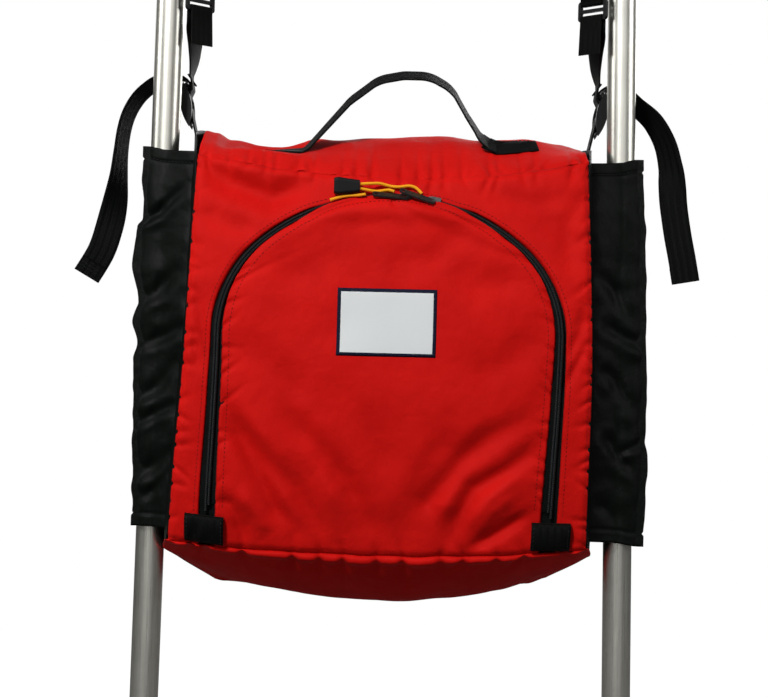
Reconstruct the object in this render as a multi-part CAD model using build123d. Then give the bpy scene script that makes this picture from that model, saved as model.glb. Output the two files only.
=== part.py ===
from build123d import *

import math
import os

# A sled's handlebar with its zipped bag: two aluminium uprights joined by a crossbar, a soft bag
# slung between them on fabric sleeves, and straps that hang the bag from the crossbar.
# Millimetres. X runs across the sled, -Y is the side the driver stands on and +Z is up.
# The origin is midway between the lower ends of the two uprights.

# Handlebar tubes
tube_od = 25.4
tube_wall = 1.6
upright_height = 850.0
foot_spacing = 424.6
upright_lean = 0.85
crossbar_drop = 50.0
foot_od = 22.0
foot_length = 60.0
foot_shoulder = 6.0
lock_hole_d = 6.5
lock_hole_height = 18.0
plug_head_height = 7.0
plug_spigot_length = 16.0
plug_clearance = 0.1
crossbar_height = upright_height - crossbar_drop
foot_x = foot_spacing / 2

# Bag, as the corners of its side profile
wall = 2.5
front_y = -60.0
back_y = 60.0
front_bottom_z = 246.0
front_top_z = 584.0
back_bottom_z = front_bottom_z - 38.0
back_top_z = front_top_z + 28.0
front_bulge = 18.0
top_bulge = 11.0
back_bulge = 8.0
bottom_bulge = 28.0

# Bag width, measured at the top and bottom seams of the front panel
half_width_top = foot_x - 43.3
half_width_bottom = foot_x - 31.3
gusset_flare = 9.0
corner_cut_z = front_bottom_z - 6.0

# Arched flap: the line of the zip in front view
zip_half_width = half_width_bottom - 34.0
shoulder_radius = 105.0
shoulder_z = front_top_z - 153.0
shoulder_angle = 50.0
zip_band = 15.0
zip_gap = 0.5
coil_width = 8.0
coil_rise = 1.4
flap_fold_z = front_bottom_z + 31.0
flap_fold_gap = 1.0
zip_flap_low_z = flap_fold_z + 6.0

# Label and end tabs
label_width = 85.0
label_height = 58.0
label_centre = (-2.0, front_top_z - 141.0)
label_thickness = 0.8
tab_width = 34.0
tab_bottom_z = front_bottom_z + 3.5
tab_top_z = tab_bottom_z + 25.0
tab_thickness = 2.2
patch_gap = 0.1

# Sleeves round the uprights
sleeve_bottom_z = front_bottom_z + 9.0
sleeve_top_z = front_top_z + 12.0
sleeve_slack = 6.0
sleeve_thickness = 1.5
sleeve_tuck = 12.0

# Webbing
web_width = 25.0
web_thickness = 1.6
seat_gap = 0.3

# Carry handle
handle_half_span = 78.0
handle_sewn = 50.0
handle_rise = 66.0
handle_foot = 40.0
handle_crown = 7.0
handle_bends = (14.0, 32.0, 60.0)
handle_place = 0.44

# Ladder lock: the ends of its centre line in front view and the places of its bars along it
strap_y = 31.0
lock_bottom = (foot_x - 27.8, front_top_z + 33.0)
lock_top = (lock_bottom[0] + 6.0, lock_bottom[1] + 40.0)
lock_width = 34.0
lock_rail = 3.5
lock_depth = 10.0
lock_bar = 3.2
anchor_bar_at = 16.0
strap_bar_at = 27.5
lip_bar_at = 38.0
bar_set_in = 1.0
lip_set_in = 2.4

# Slide buckle and the loop it closes over the crossbar
slide_x = foot_x - 36.8
slide_z = crossbar_height - 73.0
slide_turn = -42.0
slide_height = 18.0
slide_width = 33.0
slide_thickness = 3.2
slide_bar = 3.0
loop_x = foot_x - 41.3
sewn_lead = 5.0
tail_fold_height = 16.0
sewn_end_length = 32.0

# Zip sliders and their pulls
slider_length = 13.0
slider_width = 9.0
slider_rise = 3.0
slider_gap = 0.3
tab_plate_length = 32.0
tab_plate_width = 6.5
tab_plate_thickness = 1.4
tab_lift = 1.6
tab_twist = -55.0
lower_slider_x = 13.0
upper_slider_x = 35.0
lower_tab_lean = 4.6
upper_tab_lean = 18.0
cord_d = 2.6
grip_length = 22.0
grip_broad = 15.0
grip_narrow = 10.4
grip_thickness = 8.0
grip_at = (-27.9, -71.5, 8.1)

tube_r = tube_od / 2
bore_r = tube_r - tube_wall
crown_centre_z = shoulder_z - (zip_half_width - shoulder_radius) * math.tan(math.radians(shoulder_angle))
crown_radius = shoulder_radius + (zip_half_width - shoulder_radius) / math.cos(math.radians(shoulder_angle))
crown_z = crown_centre_z + crown_radius
loop_radius = tube_r + seat_gap + web_thickness / 2
# Webbing bent with a round end meets the next length this far past its last point
butt = web_thickness / 2 + seat_gap
reach = 300.0

os.makedirs("parts", exist_ok=True)


def save(name, shape):
    """Writes one named piece."""
    export_step(shape, f"parts/{name}.step")


def side_names():
    """Each side's name and its sign along X."""
    return (("left", -1), ("right", 1))


def mirrored(shape, sign):
    """The right side's shape, or its mirror image for the left."""
    return shape if sign > 0 else mirror(shape, about=Plane.YZ)


# Handlebar


def upright_x(z):
    """X of the right upright's axis at height z."""
    return foot_spacing / 2 - z * math.tan(math.radians(upright_lean))


def leaning(shape):
    """Stands a shape made round the Z axis on the right foot, at the upright's lean."""
    return Pos(foot_spacing / 2, 0, 0) * Rot(0, -upright_lean, 0) * shape


def upright():
    """The right upright: its foot is swaged down to enter a socket and cross-drilled for a locking pin."""

    def column(shrink):
        radius, foot = tube_r - shrink, foot_od / 2 - shrink
        outline = Polyline(
            (0, 0),
            (foot, 0),
            (foot, foot_length),
            (radius, foot_length + foot_shoulder),
            (radius, upright_height),
            (0, upright_height),
            close=True,
        )
        return revolve(Plane.XZ * make_face(outline), axis=Axis.Z)

    hole = Pos(0, 0, lock_hole_height) * Rot(90, 0, 0) * Cylinder(lock_hole_d / 2, 2 * tube_od)
    return leaning(column(0) - column(tube_wall) - hole)


def crossbar():
    """A straight tube whose ends are coped to the uprights it is welded to."""
    bar = Cylinder(tube_r, foot_spacing) - Cylinder(bore_r, foot_spacing)
    bar = Pos(0, 0, crossbar_height) * Rot(0, 90, 0) * bar
    post = leaning(Pos(0, 0, upright_height / 2) * Cylinder(tube_r, upright_height))
    beyond = upright_x(crossbar_height)
    span = Pos(0, 0, crossbar_height) * Box(2 * beyond, 2 * tube_od, 2 * tube_od)
    return (bar & span) - post - mirror(post, about=Plane.YZ)


def top_plug():
    """A moulded plug with a domed head, pushed into the upright's upper end."""
    dome_rise = plug_head_height - 1.5
    dome_radius = (tube_r**2 + dome_rise**2) / (2 * dome_rise)
    head = Cylinder(tube_r, 2 * plug_head_height) & Pos(0, 0, plug_head_height - dome_radius) * Sphere(dome_radius)
    head &= Pos(0, 0, plug_head_height) * Box(2 * tube_od, 2 * tube_od, 2 * plug_head_height)
    spigot = Pos(0, 0, -plug_spigot_length / 2) * Cylinder(bore_r - plug_clearance, plug_spigot_length)
    return leaning(Pos(0, 0, upright_height) * (head + spigot))


# Bag


def bag_profile(inset=0.0):
    """The bag's side profile in the YZ plane, moved inwards by inset."""
    corners = [
        (front_y, front_bottom_z),
        (front_y, front_top_z),
        (back_y, back_top_z),
        (back_y, back_bottom_z),
    ]
    bulges = [
        (-front_bulge, 0),
        (0, top_bulge),
        (back_bulge, 0),
        (0, -bottom_bulge),
    ]
    edges = []
    for i, (push_y, push_z) in enumerate(bulges):
        a, b = corners[i], corners[(i + 1) % 4]
        middle = ((a[0] + b[0]) / 2 + push_y, (a[1] + b[1]) / 2 + push_z)
        edges.append(ThreePointArc(a, middle, b))
    face = make_face(edges)
    return face if inset == 0 else offset(face, amount=-inset, kind=Kind.INTERSECTION)


def panel_sector(panel):
    """The sector of the profile, seen from its middle, that holds one panel."""
    middle = (0, (front_bottom_z + front_top_z) / 2)
    corners = {
        "front": [(front_y, front_bottom_z), (front_y, front_top_z)],
        "top": [(front_y, front_top_z), (back_y, back_top_z)],
        "back": [(back_y, back_top_z), (back_y, back_bottom_z)],
        "bottom": [(back_y, back_bottom_z), (front_y, front_bottom_z)],
    }[panel]
    far = [
        (middle[0] + 4 * (y - middle[0]), middle[1] + 4 * (z - middle[1]))
        for y, z in corners
    ]
    return make_face(Polyline(middle, far[0], far[1], close=True))


def layer(panel, outer, inner):
    """A sheet of one panel between two depths below the bag's surface, right across the bag."""
    ring = bag_profile(outer) - bag_profile(inner)
    return extrude(Plane.YZ * (ring & panel_sector(panel)), amount=reach, both=True)


def half_width(z):
    """The bag's half width at its front and back edges, at height z."""
    share = (z - front_bottom_z) / (front_top_z - front_bottom_z)
    return half_width_bottom + share * (half_width_top - half_width_bottom)


def side_bound(inset=0.0):
    """Everything between the two side walls, which flare at mid depth and turn in at the bottom corners."""
    sections = []
    low_z, high_z = front_bottom_z - reach / 2, back_top_z + reach / 2
    for z in (low_z, high_z):
        edge = half_width(z) - inset
        middle = edge + gusset_flare
        outline = [
            (-edge, 2 * front_y),
            (-edge, front_y),
            (-middle, 0),
            (-edge, back_y),
            (-edge, 2 * back_y),
        ]
        outline += [(-x, y) for x, y in reversed(outline)]
        sections.append(Pos(0, 0, z) * make_face(Polyline(*outline, close=True)))
    walls = loft(sections, ruled=True)
    low = corner_cut_z + inset * math.sqrt(2)
    edge = half_width(corner_cut_z) + gusset_flare
    run = corner_cut_z / 2
    outline = [
        (-edge, high_z),
        (-edge, low),
        (-edge + run, low - run),
        (edge - run, low - run),
        (edge, low),
        (edge, high_z),
    ]
    corners = extrude(Plane.XZ * make_face(Polyline(*outline, close=True)), amount=reach, both=True)
    return walls & corners


def arch(offset_out, bottom_z):
    """The flap's arch in front view, grown by offset_out, as a prism along Y."""
    half = zip_half_width + offset_out
    inner_x = zip_half_width - shoulder_radius
    r1 = shoulder_radius + offset_out
    r2 = crown_radius + offset_out
    edges = [
        Line((half, bottom_z), (half, shoulder_z)),
        CenterArc((inner_x, shoulder_z), r1, 0, shoulder_angle),
        CenterArc((0, crown_centre_z), r2, shoulder_angle, 180 - 2 * shoulder_angle),
        CenterArc((-inner_x, shoulder_z), r1, 180 - shoulder_angle, shoulder_angle),
        Line((-half, shoulder_z), (-half, bottom_z)),
        Line((-half, bottom_z), (half, bottom_z)),
    ]
    return extrude(Plane.XZ * make_face(edges), amount=reach, both=True)


def front_arc_y(z):
    """Y of the front panel's outer face at height z."""
    chord = front_top_z - front_bottom_z
    radius = (chord**2 / 4 + front_bulge**2) / (2 * front_bulge)
    centre_y = front_y - front_bulge + radius
    dz = z - (front_bottom_z + front_top_z) / 2
    return centre_y - math.sqrt(radius**2 - dz**2)


def slab(x_low, x_high, z_low, z_high):
    """A block through the front of the bag between the given sides and heights."""
    middle = ((x_low + x_high) / 2, 1.5 * front_y, (z_low + z_high) / 2)
    return Pos(*middle) * Box(x_high - x_low, abs(front_y) * 2, z_high - z_low)


def sleeve():
    """The right sleeve: a fabric loop round the upright, sewn to the side gusset."""

    def teardrop(z, grow):
        r = tube_r + sleeve_slack + grow
        centre = upright_x(z)
        seam = half_width(z) - sleeve_tuck
        lean = math.asin(r / (centre - seam))
        touch_x, touch_y = centre - r * math.sin(lean), r * math.cos(lean)
        edges = [
            Line((seam, 0), (touch_x, touch_y)),
            ThreePointArc((touch_x, touch_y), (centre + r, 0), (touch_x, -touch_y)),
            Line((touch_x, -touch_y), (seam, 0)),
        ]
        return Pos(0, 0, z) * make_face(edges)

    def skin(grow):
        return loft([teardrop(z, grow) for z in (sleeve_bottom_z, sleeve_top_z)], ruled=True)

    cut = extrude(Plane.YZ * bag_profile(-seat_gap), amount=reach, both=True) & side_bound(-seat_gap)
    kept = (skin(sleeve_thickness) - skin(0) - cut).solids()
    return kept.sort_by(Axis.X)[-1]


# Webbing


def web_loft(stations, width=web_width, thickness=web_thickness):
    """Webbing through stations of (x, y, z, turn): turn is the angle of its width away from Y, in degrees."""
    sections = []
    points = [Vector(*s[:3]) for s in stations]
    for i, station in enumerate(stations):
        ahead = points[min(i + 1, len(points) - 1)]
        behind = points[max(i - 1, 0)]
        along = (ahead - behind).normalized()
        across = Vector(0, 1, 0).cross(along).normalized()
        turn = math.radians(station[3])
        level = Vector(0, 1, 0) - along * along.Y
        wide = (level.normalized() * math.cos(turn) + across * math.sin(turn)).normalized()
        plane = Plane(origin=points[i], x_dir=wide, z_dir=along)
        sections.append(plane * Rectangle(width, thickness))
    return loft(sections, ruled=True)


def ribbon(points, radii, y, width=web_width, thickness=web_thickness):
    """Webbing that bends only in front view: points (x, z) with a bend radius at each inner point."""
    line = FilletPolyline(*points, radius=radii)
    strip = offset(line, amount=thickness / 2, side=Side.BOTH)
    face = strip if isinstance(strip, Face) else make_face(strip)
    return Pos(0, y, 0) * extrude(Plane.XZ * face, amount=width / 2, both=True)


def handle():
    """The carry handle: a webbing hoop that stands square on the top panel, its ends sewn down flat."""
    top = ThreePointArc(
        (front_y, front_top_z),
        ((front_y + back_y) / 2, (front_top_z + back_top_z) / 2 + top_bulge),
        (back_y, back_top_z),
    )
    seat, slope = top @ handle_place, top % handle_place
    lift = web_thickness / 2 + seat_gap
    end_x = handle_half_span + handle_sewn
    path = [
        (-end_x, lift),
        (-handle_half_span, lift),
        (-handle_half_span + handle_foot, lift + 0.74 * handle_rise),
        (0, lift + handle_rise + handle_crown),
        (handle_half_span - handle_foot, lift + 0.74 * handle_rise),
        (handle_half_span, lift),
        (end_x, lift),
    ]
    hoop = ribbon(path, [*handle_bends, *handle_bends[-2::-1]], 0)
    return Pos(0, seat.X, seat.Y) * Rot(math.degrees(math.atan2(slope.Y, slope.X)), 0, 0) * hoop


def lock_point(along, inward):
    """Point (x, z) at a distance along the right lock's centre line and towards the bag from it."""
    run = Vector(lock_top[0] - lock_bottom[0], lock_top[1] - lock_bottom[1]).normalized()
    return (
        lock_bottom[0] + run.X * along - run.Y * inward,
        lock_bottom[1] + run.Y * along + run.X * inward,
    )


def lock_length():
    """Length of the lock's centre line."""
    return math.dist(lock_bottom, lock_top)


def bar_reach():
    """Distance from a lock bar's axis to the middle of webbing that lies on it."""
    return lock_bar / 2 + seat_gap + web_thickness / 2


def ladder_lock():
    """The right ladder lock: two leaf-shaped side rails joined by three bars and a lifting lip."""
    middle = lock_length() / 2
    corners = [lock_point(0, 0), lock_point(middle, lock_depth / 2), lock_point(2 * middle, 0)]
    other = lock_point(middle, -lock_depth / 2)
    leaf = make_face([
        ThreePointArc(*corners),
        ThreePointArc(corners[2], other, corners[0]),
    ])
    rail = extrude(Plane.XZ * leaf, amount=lock_rail)
    body = Part()
    for y in (-lock_width / 2 + lock_rail, lock_width / 2):
        body += Pos(0, y, 0) * rail
    places = (
        (anchor_bar_at, bar_set_in),
        (strap_bar_at, bar_set_in),
        (lip_bar_at, lip_set_in),
        (4.0, 0.0),
    )
    for along, inward in places:
        x, z = lock_point(along, inward)
        body += Pos(x, 0, z) * Rot(90, 0, 0) * Cylinder(lock_bar / 2, lock_width - lock_rail)
    return Pos(0, strap_y, 0) * body


def corner_strap():
    """The short sewn webbing that ties the right ladder lock to the top of the side gusset."""
    turn = bar_reach()
    stand_off = gusset_flare * (1 - (strap_y - web_width / 2) / back_y) + web_thickness / 2 + seat_gap
    bar = (anchor_bar_at, bar_set_in)
    path = [
        (half_width(front_top_z - 18.0) + stand_off, front_top_z - 18.0),
        (half_width(front_top_z + 14.0) + stand_off, front_top_z + 14.0),
        lock_point(bar[0] - 8.0, bar[1] + turn),
        lock_point(bar[0] + turn, bar[1] + turn),
        lock_point(bar[0] + turn, bar[1] - turn),
        lock_point(bar[0] - 7.0, bar[1] - turn),
    ]
    return ribbon(path, [12, 12, 0.98 * turn, 0.98 * turn], strap_y)


def lock_strap():
    """The right strap inside the lock: down beside the lip bar, round the strap bar, out past the lip."""
    turn = bar_reach()
    bar = (strap_bar_at, bar_set_in)
    lip = (lip_bar_at, lip_set_in + turn)
    stacked = lip[1] + web_thickness + seat_gap
    path = [
        lock_point(lip[0] + 4.0, stacked),
        lock_point(lip[0] - 4.0, stacked),
        lock_point(bar[0] + 1.5, bar[1] + turn),
        lock_point(bar[0] - turn, bar[1] + turn),
        lock_point(bar[0] - turn, bar[1] - turn),
        lock_point(bar[0] + 2.6, bar[1] - turn),
        lock_point(lip[0] - 2.8, lip[1]),
        lock_point(lip[0] + 1.0, lip[1]),
    ]
    return ribbon(path, [3, 3, 0.9 * turn, 0.9 * turn, 2, 2], strap_y)


def turned(shape):
    """Turns a shape made in the XZ plane at the origin to the right slide buckle's place."""
    return Pos(slide_x, 0, slide_z) * Rot(0, 0, 90 - slide_turn) * shape


def slide_buckle():
    """The right three-bar slide between the hanging strap and the loop over the crossbar."""
    slot = (slide_height - 3 * slide_bar) / 2
    plate = RectangleRounded(slide_width, slide_height, slide_bar)
    for sign in (-1, 1):
        plate -= Pos(0, sign * (slide_bar + slot) / 2) * RectangleRounded(web_width + 1.5, slot, 1.0)
    return turned(extrude(Plane.XZ * plate, amount=slide_thickness / 2, both=True))


def slide_outline(points, radii):
    """Webbing bent round one of the slide's bars: points (y, z) from the slide's middle, in its own frame."""
    line = FilletPolyline(*points, radius=radii)
    strip = offset(line, amount=web_thickness / 2, side=Side.BOTH)
    face = strip if isinstance(strip, Face) else make_face(strip)
    return turned(extrude(Plane.YZ * face, amount=web_width / 2, both=True))


def slide_bar_height():
    """Height of the slide's outer bars above and below its middle."""
    return (slide_height - slide_bar) / 2


def slide_lap():
    """Distance of the webbing's middle from an outer bar's axis, across the slide and along it."""
    return slide_thickness / 2 + seat_gap + web_thickness / 2, slide_bar / 2 + seat_gap + web_thickness / 2


def beside_slide(side):
    """Point (x, y) of the webbing on one side of the slide: 1 is the side towards the bag's middle."""
    turn = math.radians(slide_turn)
    across = side * slide_lap()[0]
    return slide_x - across * math.cos(turn), across * math.sin(turn)


def hanging_strap():
    """The right strap from the ladder lock up to the slide buckle, turning as it rises."""
    stacked = lip_set_in + bar_reach() + web_thickness + seat_gap
    start = lock_point(lip_bar_at + 4.0 + butt, stacked)
    ahead = lock_point(lip_bar_at + 5.0 + butt, stacked)
    top_x, top_y = beside_slide(-1)
    top_z = slide_z - slide_bar_height() - sewn_lead - butt
    # x, y, z and turn of each station
    stations = [
        (start[0], strap_y, start[1], 0),
        (ahead[0], strap_y, ahead[1], 0),
        (slide_x + 5.9, 26.0, slide_z - 49.0, -12),
        (slide_x + 3.7, 12.0, slide_z - 29.0, -28),
        (top_x, top_y, top_z - 5.0, slide_turn),
        (top_x, top_y, top_z, slide_turn),
    ]
    return web_loft(stations)


def sewn_end():
    """The hanging strap's end, bent round the slide's lower bar and sewn back on the side facing the bag."""
    across, lap = slide_lap()
    bar = -slide_bar_height()
    path = [
        (-across, bar - sewn_lead),
        (-across, bar + lap),
        (across, bar + lap),
        (across, bar - sewn_lead),
        (across + 1.2, bar - sewn_end_length),
    ]
    return slide_outline(path, [1.2, 1.2, 8.0])


def loop_start_z():
    """Height at which the right strap's bight ends and its loop begins."""
    return slide_z + slide_bar_height() + sewn_lead


def strap_bight():
    """The turn of the right strap's webbing round the slide's upper bar."""
    across, lap = slide_lap()
    bar = slide_bar_height()
    legs = bar + 2 * sewn_lead
    bend = slide_outline(
        [(-across, legs), (-across, bar - lap), (across, bar - lap), (across, legs)],
        [1.2, 1.2],
    )
    below = Pos(slide_x, 0, loop_start_z() - slide_height) * Box(4 * tube_od, 4 * tube_od, 2 * slide_height)
    return bend & below


def strap_loop():
    """The right strap's loop: up from the bight's two legs to meet over the crossbar."""
    start_z = loop_start_z()
    # The strands touch the crossbar's curve where they are square to its radius
    lean = math.asin(loop_radius / (crossbar_height - start_z))
    edges = []
    for radius in (loop_radius - web_thickness / 2, loop_radius + web_thickness / 2):
        end = (radius * math.cos(lean), -radius * math.sin(lean))
        edges.append(ThreePointArc((-end[0], end[1]), (0, radius), end))
    edges.append(Line(edges[0] @ 0, edges[1] @ 0))
    edges.append(Line(edges[0] @ 1, edges[1] @ 1))
    saddle = extrude(Plane.YZ * make_face(edges), amount=web_width / 2, both=True)
    loop = Pos(loop_x, 0, crossbar_height) * saddle
    touch = Vector(0, loop_radius * math.cos(lean), crossbar_height - loop_radius * math.sin(lean))
    for side in (-1, 1):
        x, y = beside_slide(side)
        stations = [
            (x, y, start_z, slide_turn),
            (x, y, start_z + 1.0, slide_turn),
            ((x + loop_x) / 2, -side * touch.Y * 0.55, (start_z + touch.Z) / 2, -68),
            (loop_x, -side * touch.Y, touch.Z, -90),
        ]
        loop += web_loft(stations)
    return loop


# Each strap's free end past the ladder lock, as on the right side: x from the foot's axis, y, z from the
# lock's top and turn of each station
tail_routes = {
    "left": [
        (-24.7, 31.0, 2.8, 0),
        (-18.3, 31.0, 5.4, 4),
        (-9.3, 31.0, 5.6, 10),
        (-0.3, 31.0, 2.8, 16),
        (8.2, 31.0, -2.4, 20),
        (19.7, 31.0, -13.4, 21),
        (27.9, 30.0, -28.0, 21),
        (32.3, 29.0, -44.5, 21),
        (34.5, 28.0, -65.0, 23),
        (35.7, 26.0, -87.0, 33),
        (38.1, 24.0, -110.0, 56),
        (42.7, 22.0, -133.5, 80),
        (49.3, 20.0, -155.0, 80),
        (61.7, 19.0, -177.0, 80),
    ],
    "right": [
        (-24.7, 31.0, 2.4, 0),
        (-18.3, 31.0, 4.6, 6),
        (-9.3, 31.0, 3.4, 16),
        (-0.3, 31.0, -2.4, 25),
        (8.2, 31.0, -10.8, 31),
        (23.3, 30.0, -24.6, 38),
        (34.3, 29.0, -44.0, 43),
        (39.7, 28.0, -65.0, 52),
        (41.3, 26.0, -81.0, 72),
        (42.9, 24.0, -101.0, 88),
        (46.5, 21.0, -126.0, 90),
        (50.9, 19.0, -149.0, 90),
        (54.7, 18.0, -170.0, 90),
    ],
}


def tail(side):
    """One strap's free end, over behind the upright and down outside it, with its end folded and sewn."""
    leaves = lock_point(lip_bar_at + 1.0 + butt, lip_set_in + bar_reach())
    route = [(leaves[0], strap_y, leaves[1], 0)]
    route += [(foot_x + x, y, lock_top[1] + z, turn) for x, y, z, turn in tail_routes[side]]
    before, end = Vector(*route[-2][:3]), Vector(*route[-1][:3])
    down = (end - before).normalized()
    turn = math.radians(route[-1][3])
    level = (Vector(0, 1, 0) - down * down.Y).normalized()
    across = Vector(0, 1, 0).cross(down).normalized()
    wide = level * math.cos(turn) + across * math.sin(turn)
    fold = Plane(origin=end - down * tail_fold_height / 2, x_dir=wide, z_dir=down)
    block = fold * Box(web_width + 1.0, 3 * web_thickness, tail_fold_height)
    return web_loft(route) + block


# Zip hardware


def zip_slider(x, lean):
    """A slider on the crown of the zip at x, with its pull tab lying to the left and rising at lean degrees."""
    z = crown_centre_z + math.sqrt(crown_radius**2 - x**2)
    y = front_arc_y(z) - coil_rise - slider_gap
    slope = math.degrees(math.atan(front_arc_y(z + 0.5) - front_arc_y(z - 0.5)))
    along = math.degrees(math.asin(x / crown_radius))
    plan = [
        (-slider_length / 2, -slider_width * 0.28),
        (-slider_length / 2, slider_width * 0.28),
        (-slider_length * 0.1, slider_width / 2),
        (slider_length / 2, slider_width / 2),
        (slider_length / 2, -slider_width / 2),
        (-slider_length * 0.1, -slider_width / 2),
    ]
    shield = extrude(Plane.XZ * make_face(Polyline(*plan, close=True)), amount=slider_rise * 0.5)
    bridge = Pos(0.5, -slider_rise * 0.75, 0) * Box(slider_length * 0.6, slider_rise * 0.5, slider_width * 0.34)
    body = Rot(-slope, 0, 0) * Rot(0, along, 0) * (shield + bridge)
    half = tab_plate_length / 2
    plate = Rectangle(tab_plate_length, tab_plate_width)
    plate = fillet(plate.vertices(), tab_plate_width * 0.4)
    plate -= Pos(-half + tab_plate_width / 2, 0) * Circle(tab_plate_width * 0.24)
    tab = extrude(Plane.XZ * plate, amount=tab_plate_thickness / 2, both=True)
    tab = Pos(-half + 2.0, 0, 0) * Rot(tab_twist, 0, 0) * tab
    tab = Pos(0, -slider_rise - tab_lift, 0) * Rot(0, lean, 0) * tab
    pin = Pos(0.5, -slider_rise - tab_lift / 2, 0) * Box(2.4, tab_lift + 1.6, slider_width * 0.34)
    return Pos(x, y, z) * (body + pin + tab)


# Each cord's points (x, y, z above the zip's crown), from its slider or tab to the grip or the fold that
# hides its end
upper_cord = [
    (25.2, -70.8, 3.1),
    (22.0, -69.4, 7.3),
    (15.5, -68.8, 10.1),
    (6.2, -68.4, 8.3),
    (-2.5, -68.6, 8.9),
    (-10.5, -69.8, 11.3),
    (-19.0, -71.0, 10.7),
    (-27.6, -71.5, 10.0),
]
lower_cord = [
    (1.8, -70.2, 4.3),
    (-1.8, -69.0, 5.9),
    (-6.0, -68.6, 5.5),
    (-12.5, -68.6, 4.1),
    (-20.0, -70.3, 4.9),
    (-27.6, -71.5, 6.2),
]
under_cord = [
    (-22.6, -72.6, 1.3),
    (-29.0, -71.0, 0.3),
    (-36.5, -70.6, 0.1),
    (-45.0, -71.0, -1.5),
    (-53.0, -71.6, -4.3),
]


def cord_tube(name, points):
    """A round cord along points, with each corner rounded as far as its two runs allow."""
    points = [(x, y, crown_z + z) for x, y, z in points]
    vectors = [Vector(*p) for p in points]
    radii = []
    for a, b, c in zip(vectors, vectors[1:], vectors[2:]):
        turn = math.radians((b - a).get_angle(c - b))
        run = min((b - a).length, (c - b).length)
        radii.append(0.45 * run / math.tan(turn / 2))
    line = FilletPolyline(*points, radius=radii)
    start = Plane(origin=line @ 0, z_dir=line % 0)
    tube = sweep(start * Circle(cord_d / 2), path=line)
    share = tube.volume / (math.pi * cord_d**2 / 4 * line.length)
    print(name, "radii", [round(r, 1) for r in radii], "length", round(line.length, 1), "volume share", round(share, 3))
    return tube


def grip():
    """The moulded grip on the pull cords: flat faced, and tapered towards the cords."""
    sections = []
    for x, width in ((0.0, grip_narrow), (-grip_length * 0.85, grip_broad), (-grip_length, grip_broad * 0.88)):
        depth = grip_thickness * (0.8 + 0.2 * (width / grip_broad))
        face = RectangleRounded(width, depth, depth * 0.3)
        sections.append(Plane(origin=(x, 0, 0), x_dir=(0, 0, 1), z_dir=(-1, 0, 0)) * face)
    x, y, z = grip_at
    return Pos(x, y, crown_z + z) * loft(sections, ruled=True)


# Build every piece


def main():
    for side, sign in side_names():
        save(f"{side}_upright", mirrored(upright(), sign))
        save(f"{side}_top_plug", mirrored(top_plug(), sign))
    save("crossbar", crossbar())

    inside = side_bound(wall)
    for panel in ("top", "back"):
        save(f"{panel}_panel", layer(panel, 0, wall) & inside)
    shell = extrude(Plane.YZ * bag_profile(), amount=reach, both=True) & (side_bound() - inside)
    corner_z = corner_cut_z
    upper = Pos(0, 0, corner_z + reach) * Box(3 * reach, 2 * reach, 2 * reach)
    lower = Pos(0, 0, corner_z - reach) * Box(3 * reach, 2 * reach, 2 * reach)
    save("bottom_panel", (layer("bottom", 0, wall) & inside) + (shell & lower))
    for side, sign in side_names():
        half = Pos(sign * reach, 0, 0) * Box(2 * reach, 2 * reach, 4 * reach)
        save(f"{side}_side_gusset", shell & upper & half)

    front = layer("front", 0, wall) & inside
    edge = zip_band / 2
    fold_high = flap_fold_z + flap_fold_gap
    save("front_panel", front - arch(edge, flap_fold_z))
    save("flap_panel", front & arch(-edge, fold_high))
    tape = layer("front", 0.4, wall - 0.6) & inside
    coil = layer("front", -coil_rise, wall - 0.2) & inside
    half_gap = zip_gap / 2
    fixed = (tape & (arch(edge, fold_high) - arch(half_gap, flap_fold_z)))
    fixed += coil & (arch(coil_width / 2, fold_high) - arch(half_gap, flap_fold_z))
    save("zip_fixed_half", fixed)
    moving = tape & (arch(-half_gap, zip_flap_low_z) - arch(-edge, flap_fold_z))
    moving += coil & (arch(-half_gap, zip_flap_low_z) - arch(-coil_width / 2, flap_fold_z))
    save("zip_flap_half", moving)

    patch = slab(
        label_centre[0] - label_width / 2,
        label_centre[0] + label_width / 2,
        label_centre[1] - label_height / 2,
        label_centre[1] + label_height / 2,
    )
    save("label_patch", layer("front", -label_thickness - patch_gap, -patch_gap) & patch)
    tab_sheet = layer("front", -tab_thickness - patch_gap, -patch_gap)
    for side, sign in side_names():
        middle = sign * zip_half_width
        tab = tab_sheet & slab(middle - tab_width / 2, middle + tab_width / 2, tab_bottom_z, tab_top_z)
        save(f"{side}_zip_tab", tab)

    save("carry_handle", handle())
    save("lower_zip_slider", zip_slider(lower_slider_x, lower_tab_lean))
    save("upper_zip_slider", zip_slider(upper_slider_x, upper_tab_lean))
    save("pull_grip", grip())
    save("upper_pull_cord", cord_tube("upper cord", upper_cord))
    save("lower_pull_cord", cord_tube("lower cord", lower_cord))
    save("under_pull_cord", cord_tube("under cord", under_cord))
    for side, sign in side_names():
        save(f"{side}_sleeve", mirrored(sleeve(), sign))
        save(f"{side}_corner_strap", mirrored(corner_strap(), sign))
        save(f"{side}_ladder_lock", mirrored(ladder_lock(), sign))
        save(f"{side}_strap_tail", mirrored(tail(side), sign))
        save(f"{side}_hanging_strap", mirrored(hanging_strap(), sign))
        save(f"{side}_lock_strap", mirrored(lock_strap(), sign))
        save(f"{side}_sewn_end", mirrored(sewn_end(), sign))
        save(f"{side}_slide_buckle", mirrored(slide_buckle(), sign))
        save(f"{side}_strap_bight", mirrored(strap_bight(), sign))
        save(f"{side}_strap_loop", mirrored(strap_loop(), sign))


main()
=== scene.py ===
import math

import bpy
import numpy as np
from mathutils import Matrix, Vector, noise


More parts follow.
